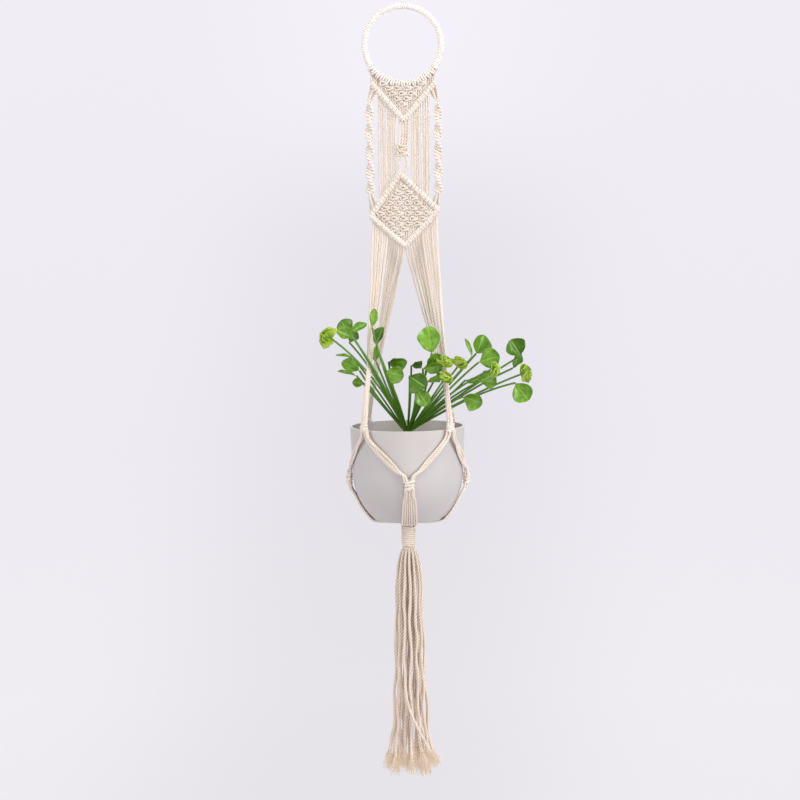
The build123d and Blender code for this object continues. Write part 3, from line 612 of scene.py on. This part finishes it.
for shape, bands in (("header", header_ends), ("diamond", diamond_ends)):
    for side, ends in bands.items():
        hitches = shape + "_hitches_" + side
        band = hitched_band(shape + "_band_" + side, ends, cord_count // 2, [hitches])
        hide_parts(shape + "_holding_cords")


# ------------------------------------------------------------------ panel between the bands
# Four cords at each edge are tied in half knots, always the same way, so that the sinnet twists. The
# long cords hang free between the bands, and the middle four share two square knots.
spiral_x = 46.2
spiral_top_z, spiral_bottom_z = -121.5, -248.0
spiral_half_turn = 26.0
half_knot_rise = 1.6 * cord
sinnet_reach, sinnet_depth = 4.9, 1.2
points_per_half_knot = 5
core_seat = 0.52 * cord
lead_spacing = 0.85 * cord_pitch
side_cord_count = 8
panel_first_x = 11.2
long_cord_pitch = 1.005 * cord_pitch
centre_knot_top_z, centre_knot_height = -181.0, 15.0
chance = random.Random(12)


def hung(points, sway=0.35):
    """A hanging cord's route, with a hand's unevenness at its inner points."""
    uneven = []
    for n, p in enumerate(points):
        shift = sway if 0 < n < len(points) - 1 else 0
        x, y = p[0] + chance.uniform(-shift, shift), p[1] + chance.uniform(-shift, shift)
        uneven.append((x, y, p[2]))
    return uneven


def between(start, end, spans):
    """Points along a straight run, ends included."""
    start, end = Vector(start), Vector(end)
    return [start.lerp(end, n / spans) for n in range(spans + 1)]


half_knots = round((spiral_top_z - spiral_bottom_z) / half_knot_rise)
rise = (spiral_top_z - spiral_bottom_z) / half_knots
for side, sign in (("left", -1), ("right", 1)):
    sinnet = []
    for worker in range(2):
        route = []
        for step in range(half_knots * points_per_half_knot + 1):
            knots = step / points_per_half_knot
            tied = pi * (knots + worker)
            twist = radians(60 + 180 * knots * rise / spiral_half_turn)
            swell = 1 + 0.12 * cos(tied) ** 6
            u, v = sinnet_reach * swell * cos(tied), sinnet_depth * sin(tied)
            x = u * cos(twist) - v * sin(twist)
            y = u * sin(twist) + v * cos(twist)
            dip = 0.7 * sin(2 * tied)
            route.append((sign * spiral_x + x, y, spiral_top_z - knots * rise + dip))
        middle = sign * spiral_x
        head, foot = (middle, 0, spiral_top_z + 1), (middle, 0, spiral_bottom_z - 1)
        sinnet.append([head] + route[2:-2] + [foot])
    for core in (-1, 1):
        sinnet.append([(middle + core * 0.8, 0, spiral_top_z), (middle, 0, spiral_bottom_z)])
    lay_cords("side_sinnet_" + side, sinnet, "panel", ["side_spiral_" + side], diameter=sinnet_cord,
              step=0.9, lobe_depth=0.2)

    leads, tails = [], []
    for n, (sx, sy) in enumerate([(-1, 1), (-1, -1), (1, 1), (1, -1)]):
        seat_x, seat_y = sign * spiral_x + sx * core_seat, sy * core_seat
        place = 3 - n if sign > 0 else n
        from_x = sign * (header_half_width - place * lead_spacing)
        top = (from_x, seat_y / 2, header_z(from_x))
        leads.append(hung(between(top, (seat_x, seat_y, spiral_top_z - 2), 3)))
        to_x = sign * (abs(diamond_left[0]) - place * cord_pitch)
        foot = (to_x, seat_y / 2, diamond_z(to_x)[1])
        tails.append(hung(between((seat_x, seat_y, spiral_bottom_z + 2), foot, 3)))
    long_cords = []
    for n in range(side_cord_count):
        x = sign * (panel_first_x + n * long_cord_pitch)
        run = between((x, 0, header_z(x)), (x, 0, diamond_z(x)[1]), 5)
        long_cords.append(hung(run, 0.45))
    for part, routes in (("side_leads", leads), ("side_tails", tails), ("panel_cords", long_cords)):
        lay_cords(part + "_laid_" + side, routes, "panel", [part + "_" + side])


def knot_stack(routes, place, half_width, reach, height, count):
    """Adds square knots tied one below another, and the five cords they hold; place turns the knot's
    own width, depth and height into the planter's frame."""
    each = height / count
    for share in (-0.6, -0.3, 0, 0.3, 0.6):
        core = [(share * half_width, 0.3 * reach * (-1) ** round(share * 10 / 3), h * height / 2)
                for h in (1, 0, -1)]
        routes.append([place @ Vector(p) for p in core])
    for worker in (first_worker, second_worker):
        route = []
        for k in range(count):
            middle = height / 2 - (k + 0.5) * each
            for u, v, w in worker[(1 if k else 0):]:
                route.append(place @ Vector((u * half_width, -v * reach, middle + w * each / 2)))
        routes.append(route)


knot_x = diamond_top[0] / 4
middle_knot = []
knot_at = Matrix.Translation((knot_x, 0, centre_knot_top_z - centre_knot_height / 2))
knot_stack(middle_knot, knot_at, half_width=6.2, reach=3.0, height=centre_knot_height, count=2)
lay_cords("centre_knot_tied", middle_knot, "panel", ["centre_knot"], diameter=middle_knot_cord,
          step=0.9)
upper_cords, lower_cords = [], []
for n in range(4):
    x = (n - 1.5) * 1.3 * cord_pitch + 1
    top = (x, 0, header_z(x))
    upper_cords.append(hung(between(top, (x * 0.9 + knot_x, 0, centre_knot_top_z - 3), 3)))
    side = -1 if n < 2 else 1
    y = (-1 if n % 2 else 1) * cord_pitch / 2
    bow = -1.1 + side * 5.6
    end_x = diamond_top[0] + 1.7 + side * 0.6 * cord_pitch
    z = centre_knot_top_z - centre_knot_height
    lower_cords.append([
        (knot_x + side * 0.75 * cord_pitch, y, z + 4), (bow, y, z - 8), (bow + 0.3 * side, y, z - 16),
        (end_x, y * 0.8, diamond_top[1] + 1.0),
    ])
for part, routes in (("upper", upper_cords), ("lower", lower_cords)):
    node = "centre_cords_" + part
    lay_cords(node + "_laid", routes, "panel", [node], diameter=centre_cord)


# ------------------------------------------------------------------ sling
# Seven cords go to each of four collar knots at the pot's rim. There each bundle parts, and meets its
# neighbours again in four net knots on the wall. All run in under the pot, where a wrap gathers them.
rim_z, rim_radius = -562.0, 78.0
waist_z, waist_radius = -627.0, 75.2
base_z, base_radius = -690.0, 45.5
running_gap = 0.5
collar_z, collar_size = -559.0, (13.0, 9.0, 12.0)
collar_azimuths = {"front_left": 229, "front_right": 318, "back_left": 135, "back_right": 45}
net_knot_z, net_knot_size = -634.0, (14.5, 9.0, 15.5)
net_knot_azimuths = {"right": 0, "back": 90, "left": 180, "front": 275}
wrap_turns, wrap_top_z, wrap_core_radius = 10, -698.0, 6.3
wrap_bottom_z = wrap_top_z - wrap_turns * cord
slope = atan2(rim_radius - waist_radius, rim_z - waist_z)
half_arc = atan2(waist_radius - base_radius, waist_z - base_z) - slope
belly_radius = hypot(base_radius - waist_radius, base_z - waist_z) / (2 * sin(half_arc))
belly_centre = (waist_radius - belly_radius * cos(slope), waist_z + belly_radius * sin(slope))
wall_off = cord / 2 + running_gap + 0.6


def wall_radius(z):
    """Outside of the pot's wall at a height."""
    if z > waist_z:
        return waist_radius + (min(z, rim_z) - waist_z) * tan(slope)
    return belly_centre[0] + sqrt(belly_radius ** 2 - (z - belly_centre[1]) ** 2)


def polar(radius, azimuth, z):
    return Vector((radius * cos(radians(azimuth)), radius * sin(radians(azimuth)), z))


collar_radius = rim_radius + running_gap + collar_size[1] / 2
net_knot_radius = wall_radius(net_knot_z + net_knot_size[2] / 2) + running_gap + net_knot_size[1] / 2
collar_seats = [
    (-0.98, 0.0), (-0.49, 0.85), (-0.49, -0.85), (0.0, 0.0), (0.49, 0.85), (0.49, -0.85), (0.98, 0.0),
]
bundle_head = 0.81 * band_diameter + cord / 2 + 2.2
for name, azimuth in collar_azimuths.items():
    sign = -1 if "left" in name else 1
    bundle = []
    for n in range(7):
        x = sign * abs(cord_x(n + (7 if "back" in name else 0)))
        lower = diamond_z(x)[0]
        across, out = collar_seats[n] if name in ("front_right", "back_left") else collar_seats[6 - n]
        turned = degrees(across * cord_pitch / collar_radius)
        foot = polar(collar_radius + out * cord_pitch, azimuth + turned, collar_z)
        drop = between((x, 0, lower - bundle_head), foot, 7)
        bundle.append([(x, 0, lower - 1)] + hung(drop, 0.8))
    laid = lay_cords("bundle_laid_" + name, bundle, None, ["bundle_" + name], diameter=bundle_cord)
    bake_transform(laid)


def on_wall(radius, azimuth, z):
    """The frame of a knot on the pot's wall: its width round the pot, its depth outwards."""
    turned = Matrix.Rotation(radians(azimuth + 90), 4, "Z")
    return Matrix.Translation(polar(radius, azimuth, z)) @ turned


def wound_knot(routes, place, half_width, reach, height, turns):
    """Adds a knot whose working cord goes round the others, each turn a little askew."""
    for share in (-0.75, -0.25, 0.25, 0.75):
        core = [(share * half_width, 0.4 * reach * h, h * height / 2) for h in (1, 0, -1)]
        routes.append([place @ Vector(p) for p in core])
    route = []
    for n in range(turns * 8 + 1):
        a = pi / 4 * n - pi / 2
        drop = (n / (turns * 8) - 0.5) * (height - 3.4)
        askew = 0.9 * sin(a * 0.5 + 1) * cos(a)
        route.append(place @ Vector((half_width * cos(a), -reach * sin(a), -drop + askew)))
    routes.append(route)


for kind, azimuths, radius, z, half_width, height, thickness in (
    ("collar", collar_azimuths, collar_radius, collar_z, 5.2, collar_size[2], collar_cord),
    ("net", net_knot_azimuths, net_knot_radius, net_knot_z, 5.6, net_knot_size[2], net_knot_cord),
):
    for name, azimuth in azimuths.items():
        knots = []
        place = on_wall(radius, azimuth, z)
        wound_knot(knots, place, half_width, reach=3.1, height=height, turns=3)
        lay_cords(kind + "_tied_" + name, knots, "sling", [kind + "_knot_" + name],
                  diameter=thickness, step=0.9)

# a leg's way from its collar to a net knot, as shares round the pot and down it
leg_way = [(0.01, 0.09), (0.21, 0.29), (0.41, 0.48), (0.60, 0.67), (0.79, 0.83), (0.97, 0.92)]
four_seats = [(0.5, 0.5), (0.5, -0.5), (1.5, 0.5), (1.5, -0.5)]
three_seats = [(0.5, 0.5), (0.5, -0.5), (1.5, -0.5)]
neighbours = {
    "front_left": (("front", four_seats), ("left", three_seats)),
    "front_right": (("right", four_seats), ("front", three_seats)),
    "back_right": (("back", four_seats), ("right", three_seats)),
    "back_left": (("left", four_seats), ("back", three_seats)),
}
leg_squeeze = 0.58                 # a leg's cords lie closer than side by side
leg_stagger = 1.4                  # and every other one lies further out
knot_reach = 4.0                   # how far a cord runs on into a knot
collar_foot = collar_z - collar_size[2] / 2
net_head = net_knot_z + net_knot_size[2] / 2
for name, ways in neighbours.items():
    legs = []
    for target, seats in ways:
        start = collar_azimuths[name]
        arc = (net_knot_azimuths[target] - start + 180) % 360 - 180
        way = 1 if arc > 0 else -1
        for n, (across, out) in enumerate(seats):
            lane = (n - (len(seats) - 1) / 2) * cord_pitch
            route = []
            for i, (share_round, share_down) in enumerate(leg_way):
                z = collar_foot + (net_head - collar_foot) * share_down
                middle = min(i, len(leg_way) - 1 - i, 2) / 2
                near_start = share_round < 0.5
                inwards = way if near_start else -way
                seat_turn = degrees(across * cord_pitch / collar_radius) * inwards * (1 - middle)
                lane_turn = degrees(lane * leg_squeeze / collar_radius) * way * middle
                seat_r = (collar_radius if near_start else net_knot_radius) + out * cord_pitch
                z += lane * leg_squeeze * middle
                on_pot = wall_radius(z) + wall_off + leg_stagger * (n % 2)
                r = seat_r * (1 - middle) + on_pot * middle
                route.append(polar(r, start + arc * share_round + seat_turn + lane_turn, z))
            route.insert(0, Vector((*route[0].xy, collar_foot + knot_reach)))
            route.append(Vector((*route[-1].xy, net_head - knot_reach)))
            legs.append(route)
    lay_cords("legs_laid_" + name, legs, "sling", ["legs_" + name], diameter=leg_cord)

# each cord's place in a net knot, across it and outwards, in cord diameters
foot_seats = [
    (-1.9, -0.45), (-1.25, 0.5), (-0.63, -0.45), (0.0, 0.5), (0.63, -0.45), (1.25, 0.5), (1.9, -0.45),
]
belly_way = [(21, 0.84), (30, 0.93), (39, 1.0)]
under_way = [(48.2, 2.0), (36.5, 3.1), (24.0, 3.5)]
knot_foot = net_knot_z - net_knot_size[2] / 2
gathered = []
for name, azimuth in net_knot_azimuths.items():
    turn = Matrix.Rotation(radians(azimuth), 3, "Z")
    under = []
    for n, (across, out) in enumerate(foot_seats):
        lane = (n - 3) * 0.985 * cord_pitch
        way = [
            Vector((net_knot_radius + out * cord, across * cord, knot_foot + knot_reach)),
            Vector((net_knot_radius - 1.3 + out * 0.6 * cord, across * cord, knot_foot - 5.0)),
        ]
        for angle, spread in belly_way:
            a, r = radians(angle), belly_radius + wall_off
            way.append(Vector((
                belly_centre[0] + r * cos(a), lane * spread, belly_centre[1] - r * sin(a))))
        way += [Vector((r, lane, base_z - below)) for r, below in under_way]
        under.append([turn @ p for p in way + [Vector((15.0, lane * 0.9, base_z - 3.6))]])
        tucked = [
            (24.0, lane, base_z - 3.5), (15.0, lane * 0.9, base_z - 3.6),
            (9.0, lane * 0.75, base_z - 4.2), (6.2, lane * 0.5, base_z - 6.4),
            (4.4, lane * 0.36, wrap_top_z - 1), (4.4, lane * 0.36, wrap_top_z - 6),
        ]
        gathered.append([turn @ Vector(p) for p in tucked])
    lay_cords("under_cords_laid_" + name, under, "sling", ["under_cords_" + name], diameter=under_cord)
lay_cords("gathered_cords_laid", gathered, "sling", ["gathered_cords"])

wrap = []
wrap_points = 14
for n in range(wrap_turns * wrap_points + 1):
    a = 2 * pi * n / wrap_points
    r = (wrap_core_radius + 0.7 + cord / 2) / cos(pi / wrap_points)
    z = wrap_top_z - cord / 2 - (wrap_turns - 1) * cord * n / (wrap_turns * wrap_points)
    wrap.append((r * cos(a), r * sin(a), z))
lay_cords("gather_wrap_wound", [wrap], "sling", ["gather_wrap"], diameter=wrap_cord, step=0.9,
          lobe_depth=0.14, material=warm_shaded_cotton)


# ------------------------------------------------------------------ tassel
# The cords' own ends, cut to about a length and left loose below the wrap. Each hangs a little apart
# from the next with a lazy wave, and its last centimetres are unlaid and combed out.
tassel_top_z = wrap_bottom_z - 4.0
fray_length, fray_width = 24.0, 8.6
strand_rings = [(4, 2.15), (10, 5.2), (14, 8.25)]
strand_levels = [0.0, -10.0, -27.0, -50.0] + [-74.0 - 24 * n for n in range(8)] + [-261.0, -279.0]
strand_spread = [1.0, 1.5, 1.88, 2.04, 2.13, 2.19, 2.28, 2.4, 2.5, 2.59, 2.71, 2.91, 3.18, 3.5]
strand_wander = [0.0, 0.1, 1.0, 1.3, 1.5, 1.7, 1.8, 2.0, 2.1, 2.2, 2.2, 2.2, 1.8, 1.1]
wander_turn, wander_bends = 2.4, (1.7, 2.6, -2.1)
crossing_strand = 23
crossing_way = {
    9: (-5.5, -24.5), 10: (0.0, -29.0), 11: (11.0, -31.5), 12: (20.0, -29.0), 13: (27.0, -24.0),
}
strand_trim = [0.0, -6.0, 3.0, -3.0, 5.0, -8.0, 1.5]

strands = []
for count, radius in strand_rings:
    for place in range(count):
        angle = 2 * pi * (place + 0.5 * (radius > 4) + 0.23) / count
        index = len(strands)
        route = []
        for n, (level, spread, stray) in enumerate(zip(strand_levels, strand_spread, strand_wander)):
            heading = wander_turn * index + wander_bends[index % 3] * n
            x = radius * spread * cos(angle) + stray * cos(heading)
            y = radius * spread * sin(angle) + stray * sin(heading)
            if index == crossing_strand and n in crossing_way:
                x, y = crossing_way[n]
            route.append(Vector((x, y, tassel_top_z + level)))
        route[-1].z += strand_trim[index % len(strand_trim)]
        strands.append(route)

tips = []
for n, route in enumerate(strands):
    top = Vector((route[0].x * 0.62, route[0].y * 0.62, wrap_bottom_z + 1))
    drop = [top] + route
    line = spline_points("strand_line", drop)
    strand = lay_cords("tassel_strand_%02d" % (n + 1), [drop], "tassel", diameter=strand_cord,
                       material=warm_shaded_cotton)
    if n == 0:
        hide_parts("tassel_strands_inner", "tassel_strands_outer")
    tips.append((line[-1] / MM, (line[-1] - line[-4]).normalized()))


# combed-out cotton: every fibre starts in the cord's cut end and curls its own way
fibres_per_tip = 40
fibre_diameter = 0.65
# the combed fibres get pale tones and a strong glow, painted light that stands for light passed among
# them
combed_cotton = natural_cotton(
    "natural_cotton_combed", "F6E9D6", "FFF7EA", seen_through=0.4, painted_glow=0.22)
combed = []
for tip, along in tips:
    side = along.orthogonal().normalized()
    other = along.cross(side)
    for n in range(fibres_per_tip):
        a, share = chance.uniform(0, 2 * pi), sqrt(chance.random())
        outwards = side * cos(a) + other * sin(a)
        root = tip + outwards * share * cord * 0.42 - along * 2
        reach = fray_length * chance.uniform(0.6, 1.12) + 2
        spread = outwards * share * fray_width * 0.9
        spread += side * chance.gauss(0, 1.2) + other * chance.gauss(0, 1.2)
        route = []
        for step in range(6):
            t = step / 5
            curl = side * chance.gauss(0, 0.7 * t) + other * chance.gauss(0, 0.7 * t)
            route.append(root + along * reach * t + spread * t ** 1.4 * 0.8 + curl)
        combed.append(route)
fringe = run_tree(
    "tassel_fringe", spline_curve("fringe", combed), laid_cord, diameter=fibre_diameter * MM,
    lay=20 * MM, step=4 * MM, lobe_depth=0.0, sides=4, material=combed_cotton)
stand_in(fringe, "tassel", ["tassel_frayed_ends"])


# ------------------------------------------------------------------ pot and foam
# A thin-walled pot of injection-moulded white plastic with a satin face, and the dark green foam
# that the artificial plant is pushed into.
def moulded_white():
    material, tree = new_material("moulded_polypropylene_satin")
    place = add(tree, "ShaderNodeTexCoord").outputs["Object"]
    orange_peel = add(tree, "ShaderNodeTexNoise", {"Vector": place, "Scale": 700.0, "Detail": 2.0})
    cloud = add(tree, "ShaderNodeTexNoise", {"Vector": place, "Scale": 14.0})
    white = add(tree, "ShaderNodeMix", {
        0: cloud, 6: linear("BAB5B3"), 7: linear("C2BDBB")}, data_type="RGBA").outputs[2]
    satin = add(tree, "ShaderNodeMapRange", {"Value": cloud, "To Min": 0.36, "To Max": 0.46})
    grain = add(tree, "ShaderNodeBump", {
        "Height": orange_peel, "Strength": 0.12, "Distance": 0.1 * MM})
    return cover(material, add(tree, "ShaderNodeBsdfPrincipled", {
        "Base Color": white, "Roughness": satin, "Normal": grain, "IOR": 1.49,
        "Subsurface Weight": 0.05}))


def floral_foam():
    material, tree = new_material("floral_foam_cut")
    place = add(tree, "ShaderNodeTexCoord").outputs["Object"]
    cells = add(tree, "ShaderNodeTexVoronoi", {"Vector": place, "Scale": 900.0})
    green = add(tree, "ShaderNodeMix", {
        0: cells, 6: linear("26331F"), 7: linear("4B5E3B")}, data_type="RGBA").outputs[2]
    pits = add(tree, "ShaderNodeBump", {"Height": cells, "Strength": 0.8, "Distance": 0.6 * MM})
    return cover(material, add(tree, "ShaderNodeBsdfPrincipled", {
        "Base Color": green, "Normal": pits, "Roughness": 0.95}))


def drawn_steel():
    material, tree = new_material("drawn_steel_wire")
    place = add(tree, "ShaderNodeTexCoord").outputs["Object"]
    marks = add(tree, "ShaderNodeTexNoise", {"Vector": place, "Scale": 400.0, "Detail": 3.0})
    worn = add(tree, "ShaderNodeMapRange", {"Value": marks, "To Min": 0.25, "To Max": 0.5})
    return cover(material, add(tree, "ShaderNodeBsdfPrincipled", {
        "Base Color": linear("A9A7A3"), "Metallic": 1.0, "Roughness": worn}))


def refinish(node, material):
    """Gives a CAD node its finish."""
    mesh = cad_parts[node].data
    mesh.materials.clear()
    mesh.materials.append(material)


refinish("hoop", drawn_steel())
refinish("pot", moulded_white())
refinish("planting_foam", floral_foam())


# ------------------------------------------------------------------ plant
# An artificial plant: moulded green stems that fan out of one base, heart-shaped leaves pressed with
# veins, and small ruffled buds.
stem_diameter = 2.0
stem_swell = 1.4                   # the moulded skin on a stem's wire
stem_base_diameter = 12.0
stem_base_top_z = -570.0
leaves = {
    "left": [
        ((-39, -47, -483), (-71, -52, -432), (-85, -48, -415), 19, 10),
        ((-42, -50, -475), (-67, -56, -438), (-89, -60, -426), 17, 35),
        ((-36, -52, -477), (-73, -66, -430), (-49, -62, -417), 9, -20),
        ((-29, -50, -483), (-42, -55, -424), (-38, -56, -399), 9, 15),
        ((-25, -40, -479), (-38, -46, -449), (-29, -46, -424), 12, -25),
        ((-41, -20, -484), (-76, -22, -446), (-66, -24, -430), 12, 30),
        ((-31, -16, -497), (-40, -14, -474), (-48, -12, -453), 13, 40),
        ((-48, -6, -514), (-64, -4, -486), (-87, -8, -473), 15, 20),
        ((-44, -12, -505), (-71, -10, -468), (-95, -12, -462), 5, 60),
        ((-50, 4, -516), (-69, 6, -494), (-94, 4, -486), 6, 60),
        ((-40, 8, -525), (-59, 10, -505), (-75, 8, -503), 10, 10),
    ],
    "centre": [
        ((-18, -22, -517), (-22, -32, -472), (2, -38, -474), 18, 30),
        ((-7, -28, -527), (-25, -46, -484), (-1, -48, -491), 20, 15),
        ((7, -14, -517), (8, -26, -478), (23, -28, -473), 10, 35),
        ((6, -28, -522), (7, -50, -490), (28, -56, -505), 24, 10),
        ((14, -30, -534), (15, -44, -508), (31, -48, -530), 17, -10),
        ((22, -22, -507), (37, -44, -460), (32, -47, -424), 24, -5),
        ((24, -26, -517), (30, -48, -476), (49, -52, -462), 16, 25),
        ((26, -28, -522), (25, -50, -480), (52, -54, -477), 13, 20),
        ((24, -28, -525), (31, -50, -497), (50, -58, -488), 11, 45),
    ],
    "right": [
        ((57, -8, -505), (90, -10, -468), (82, -12, -443), 5, 30),
        ((62, -4, -501), (95, -2, -464), (107, -4, -440), 21, 20),
        ((68, -12, -499), (99, -14, -475), (127, -18, -466), 23, -15),
        ((86, 4, -509), (155, 4, -468), (142, 2, -446), 23, 10),
        ((90, 12, -509), (144, 17, -486), (155, 15, -464), 12, 35),
        ((64, 6, -517), (99, -12, -502), (121, -17, -492), 23, 25),
        ((60, 6, -521), (79, 16, -502), (101, 20, -500), 12, 50),
        ((54, -10, -529), (77, -14, -522), (103, -18, -531), 20, 15),
        ((94, -4, -515), (148, -6, -504), (165, -10, -528), 23, 0),
    ],
}
# each bud: its stem's bend, its middle, and its width
buds = [
    ((-40, -49, -479), (-101, -66, -434), 17),
    ((28, -35, -515), (55, -62, -471), 14),
    ((32, -34, -527), (55, -62, -492), 14),
    ((48, -14, -509), (74, -24, -476), 15),
    ((66, -10, -505), (120, -32, -482), 13),
    ((92, -4, -515), (161, -11, -490), 16),
]


def pressed_leaf(name, light, dark, vein):
    """Moulded polyethylene leaf: satin, a little translucent, and paler along its veins."""
    material, tree = new_material(name)
    sheet = add(tree, "ShaderNodeAttribute", attribute_name="leaf_place").outputs["Vector"]
    tone = add(tree, "ShaderNodeAttribute", attribute_name="leaf_tone").outputs["Fac"]
    rib = add(tree, "ShaderNodeSeparateXYZ", {"Vector": sheet}).outputs["Z"]
    place = add(tree, "ShaderNodeTexCoord").outputs["Object"]
    cloud = add(tree, "ShaderNodeTexNoise", {"Vector": place, "Scale": 160.0})
    share = add(tree, "ShaderNodeMath", {0: cloud, 1: tone, 2: 0.12}, operation="MULTIPLY_ADD")
    body = add(tree, "ShaderNodeMix", {
        0: share, 6: linear(dark), 7: linear(light)}, data_type="RGBA").outputs[2]
    raised = add(tree, "ShaderNodeMapRange", {"Value": rib, "From Min": 0.25, "From Max": 0.95})
    veined = add(tree, "ShaderNodeMix", {
        0: raised, 6: body, 7: linear(vein)}, data_type="RGBA").outputs[2]
    leaf = add(tree, "ShaderNodeBsdfPrincipled", {
        "Base Color": veined, "Roughness": 0.3, "IOR": 1.5, "Specular IOR Level": 0.5})
    through = add(tree, "ShaderNodeBsdfTranslucent", {"Color": veined})
    return cover(material, add(tree, "ShaderNodeMixShader", {0: 0.25, 1: leaf, 2: through}))


leaf_green = pressed_leaf("pressed_leaf_green", "8EC43A", "20520C", "A0D258")
bud_lime = pressed_leaf("pressed_bud_lime", "CDE263", "92BC3A", "DEEE94")
leaf_rows, leaf_ribs = 18, 9
leaf_swell = 1.24                  # a leaf's widest part against its nominal width


def leaf_frame(base, tip, lean):
    """The leaf's own axes: along it, across it, and out of its face."""
    along = Vector(tip) - Vector(base)
    length = along.length
    along.normalize()
    towards = Matrix.Rotation(radians(lean), 3, along) @ front
    across = along.cross(towards).normalized()
    return along, across, across.cross(along), length


def leaf_mesh(points, faces, marks, base, tip, width, lean, seed):
    """Adds one cupped, heart-shaped leaf, a closed thin sheet."""
    along, across, out, length = leaf_frame(base, tip, lean)
    width *= leaf_swell
    draw = random.Random(seed)
    droop, cup, tone = draw.uniform(0.06, 0.2), draw.uniform(0.12, 0.36), draw.uniform(0.2, 1.5)
    start = len(points)
    columns = 2 * leaf_ribs + 1
    for face in (1, -1):
        for i in range(leaf_rows + 1):
            t = 0.5 - 0.5 * cos(pi * i / leaf_rows)
            reach = sin(pi * min(0.9995, 0.01 + 0.99 * t) ** 1.3) ** 0.58
            crimp = sin(t * 11 + seed * 2.3)
            for j in range(columns):
                s = (j - leaf_ribs) / leaf_ribs
                notch = 0.10 * (1 - abs(s)) * max(0, t - 0.75) / 0.25
                spot_along = t - notch * 0.6 + 0.05 * abs(s) * (1 - t)
                sideways = s * reach * width * (0.52 + 0.012 * crimp * abs(s))
                midrib = max(0.0, 1 - abs(s) * 9)
                side_ribs = max(0.0, cos((t * 6 - abs(s) * 2.2) * pi * 2) - 0.72)
                vein = midrib + 0.6 * side_ribs * 2
                lift = cup * width * s * s * reach - droop * length * t * t
                lift += 0.08 * width * crimp * abs(s) ** 3
                thick = 0.45 if 0 < i < leaf_rows and 0 < j < columns - 1 else 0.12
                height = lift + face * thick * 0.6 + (0.18 * vein if face > 0 else -0.05 * vein)
                spot = along * length * spot_along + across * sideways + out * height
                points.append(Vector(base) + spot)
                marks.append((s, t, min(1.0, vein), tone))
    flat = (leaf_rows + 1) * columns
    for i in range(leaf_rows):
        for j in range(columns - 1):
            a = start + i * columns + j
            quad = (a, a + 1, a + columns + 1, a + columns)
            faces.append(quad)
            faces.append(tuple(reversed([q + flat for q in quad])))
    rim = [start + j for j in range(columns)]
    rim += [start + i * columns + columns - 1 for i in range(1, leaf_rows + 1)]
    rim += [start + leaf_rows * columns + j for j in range(columns - 2, -1, -1)]
    rim += [start + i * columns for i in range(leaf_rows - 1, 0, -1)]
    for a, b in zip(rim, rim[1:] + rim[:1]):
        faces.append((b, a, a + flat, b + flat))


def sheet_object(name, points, faces, marks, material):
    mesh = bpy.data.meshes.new(name)
    mesh.from_pydata([p * MM for p in points], [], faces)
    place = mesh.attributes.new("leaf_place", "FLOAT_VECTOR", "POINT")
    place.data.foreach_set("vector", [c for m in marks for c in m[:3]])
    tone = mesh.attributes.new("leaf_tone", "FLOAT", "POINT")
    tone.data.foreach_set("value", [m[3] for m in marks])
    mesh.materials.append(material)
    mesh.shade_smooth()
    return new_object(name, mesh)


for side, blades in leaves.items():
    points, faces, marks = [], [], []
    for n, (bend, base, tip, width, lean) in enumerate(blades):
        leaf_mesh(points, faces, marks, base, tip, width, lean, n + len(side))
    foliage = sheet_object("foliage_" + side, points, faces, marks, leaf_green)
    stand_in(foliage, "plant", ["leaves_" + side])


petals_in_bud, golden_turn = 9, 0.382


def bud_petals(points, faces, marks, bend, middle, width, seed):
    """Adds one bud: small ruffled petals round a middle."""
    axis = (Vector(middle) - Vector(bend)).normalized()
    side = axis.orthogonal().normalized()
    other = axis.cross(side)
    root = Vector(middle) - axis * width * 0.42
    for n in range(petals_in_bud):
        a = 2 * pi * (n * golden_turn + seed * 0.13)
        open_out = 0.35 + 0.65 * (n % 3) / 2
        outwards = side * cos(a) + other * sin(a)
        tip = root + axis * width * (1.15 - 0.45 * open_out) + outwards * width * 0.75 * open_out
        leaf_mesh(points, faces, marks, root, tip, width * 0.95, degrees(a), seed * 10 + n)


points, faces, marks = [], [], []
for n, (bend, middle, width) in enumerate(buds):
    bud_petals(points, faces, marks, bend, middle, width, n)
ruffled = sheet_object("ruffled_buds", points, faces, marks, bud_lime)
stand_in(ruffled, "plant", ["leaf_buds"])

stem_routes = []
seat_reach = 0.25 * stem_base_diameter
ends = [(bend, base) for blades in leaves.values() for bend, base, *_ in blades]
ends += [(bend, middle) for bend, middle, _ in buds]
for bend, end in ends:
    lean = Vector((bend[0], bend[1], 0))
    seat_at = lean.normalized() * seat_reach * min(1, lean.length / 50)
    stem_routes.append([(seat_at.x, seat_at.y, stem_base_top_z), bend, end])
stem_green = pressed_leaf("moulded_stem_green", "9CC84A", "548A24", "9CC84A")
refinish("plant_stem_base", stem_green)
stems = run_tree(
    "moulded_stems", spline_curve("stems", stem_routes), laid_cord,
    diameter=stem_swell * stem_diameter * MM, lay=900 * MM, step=4 * MM, lobe_depth=0.05, sides=10,
    material=stem_green)
stand_in(stems, "plant", ["plant_stems"])
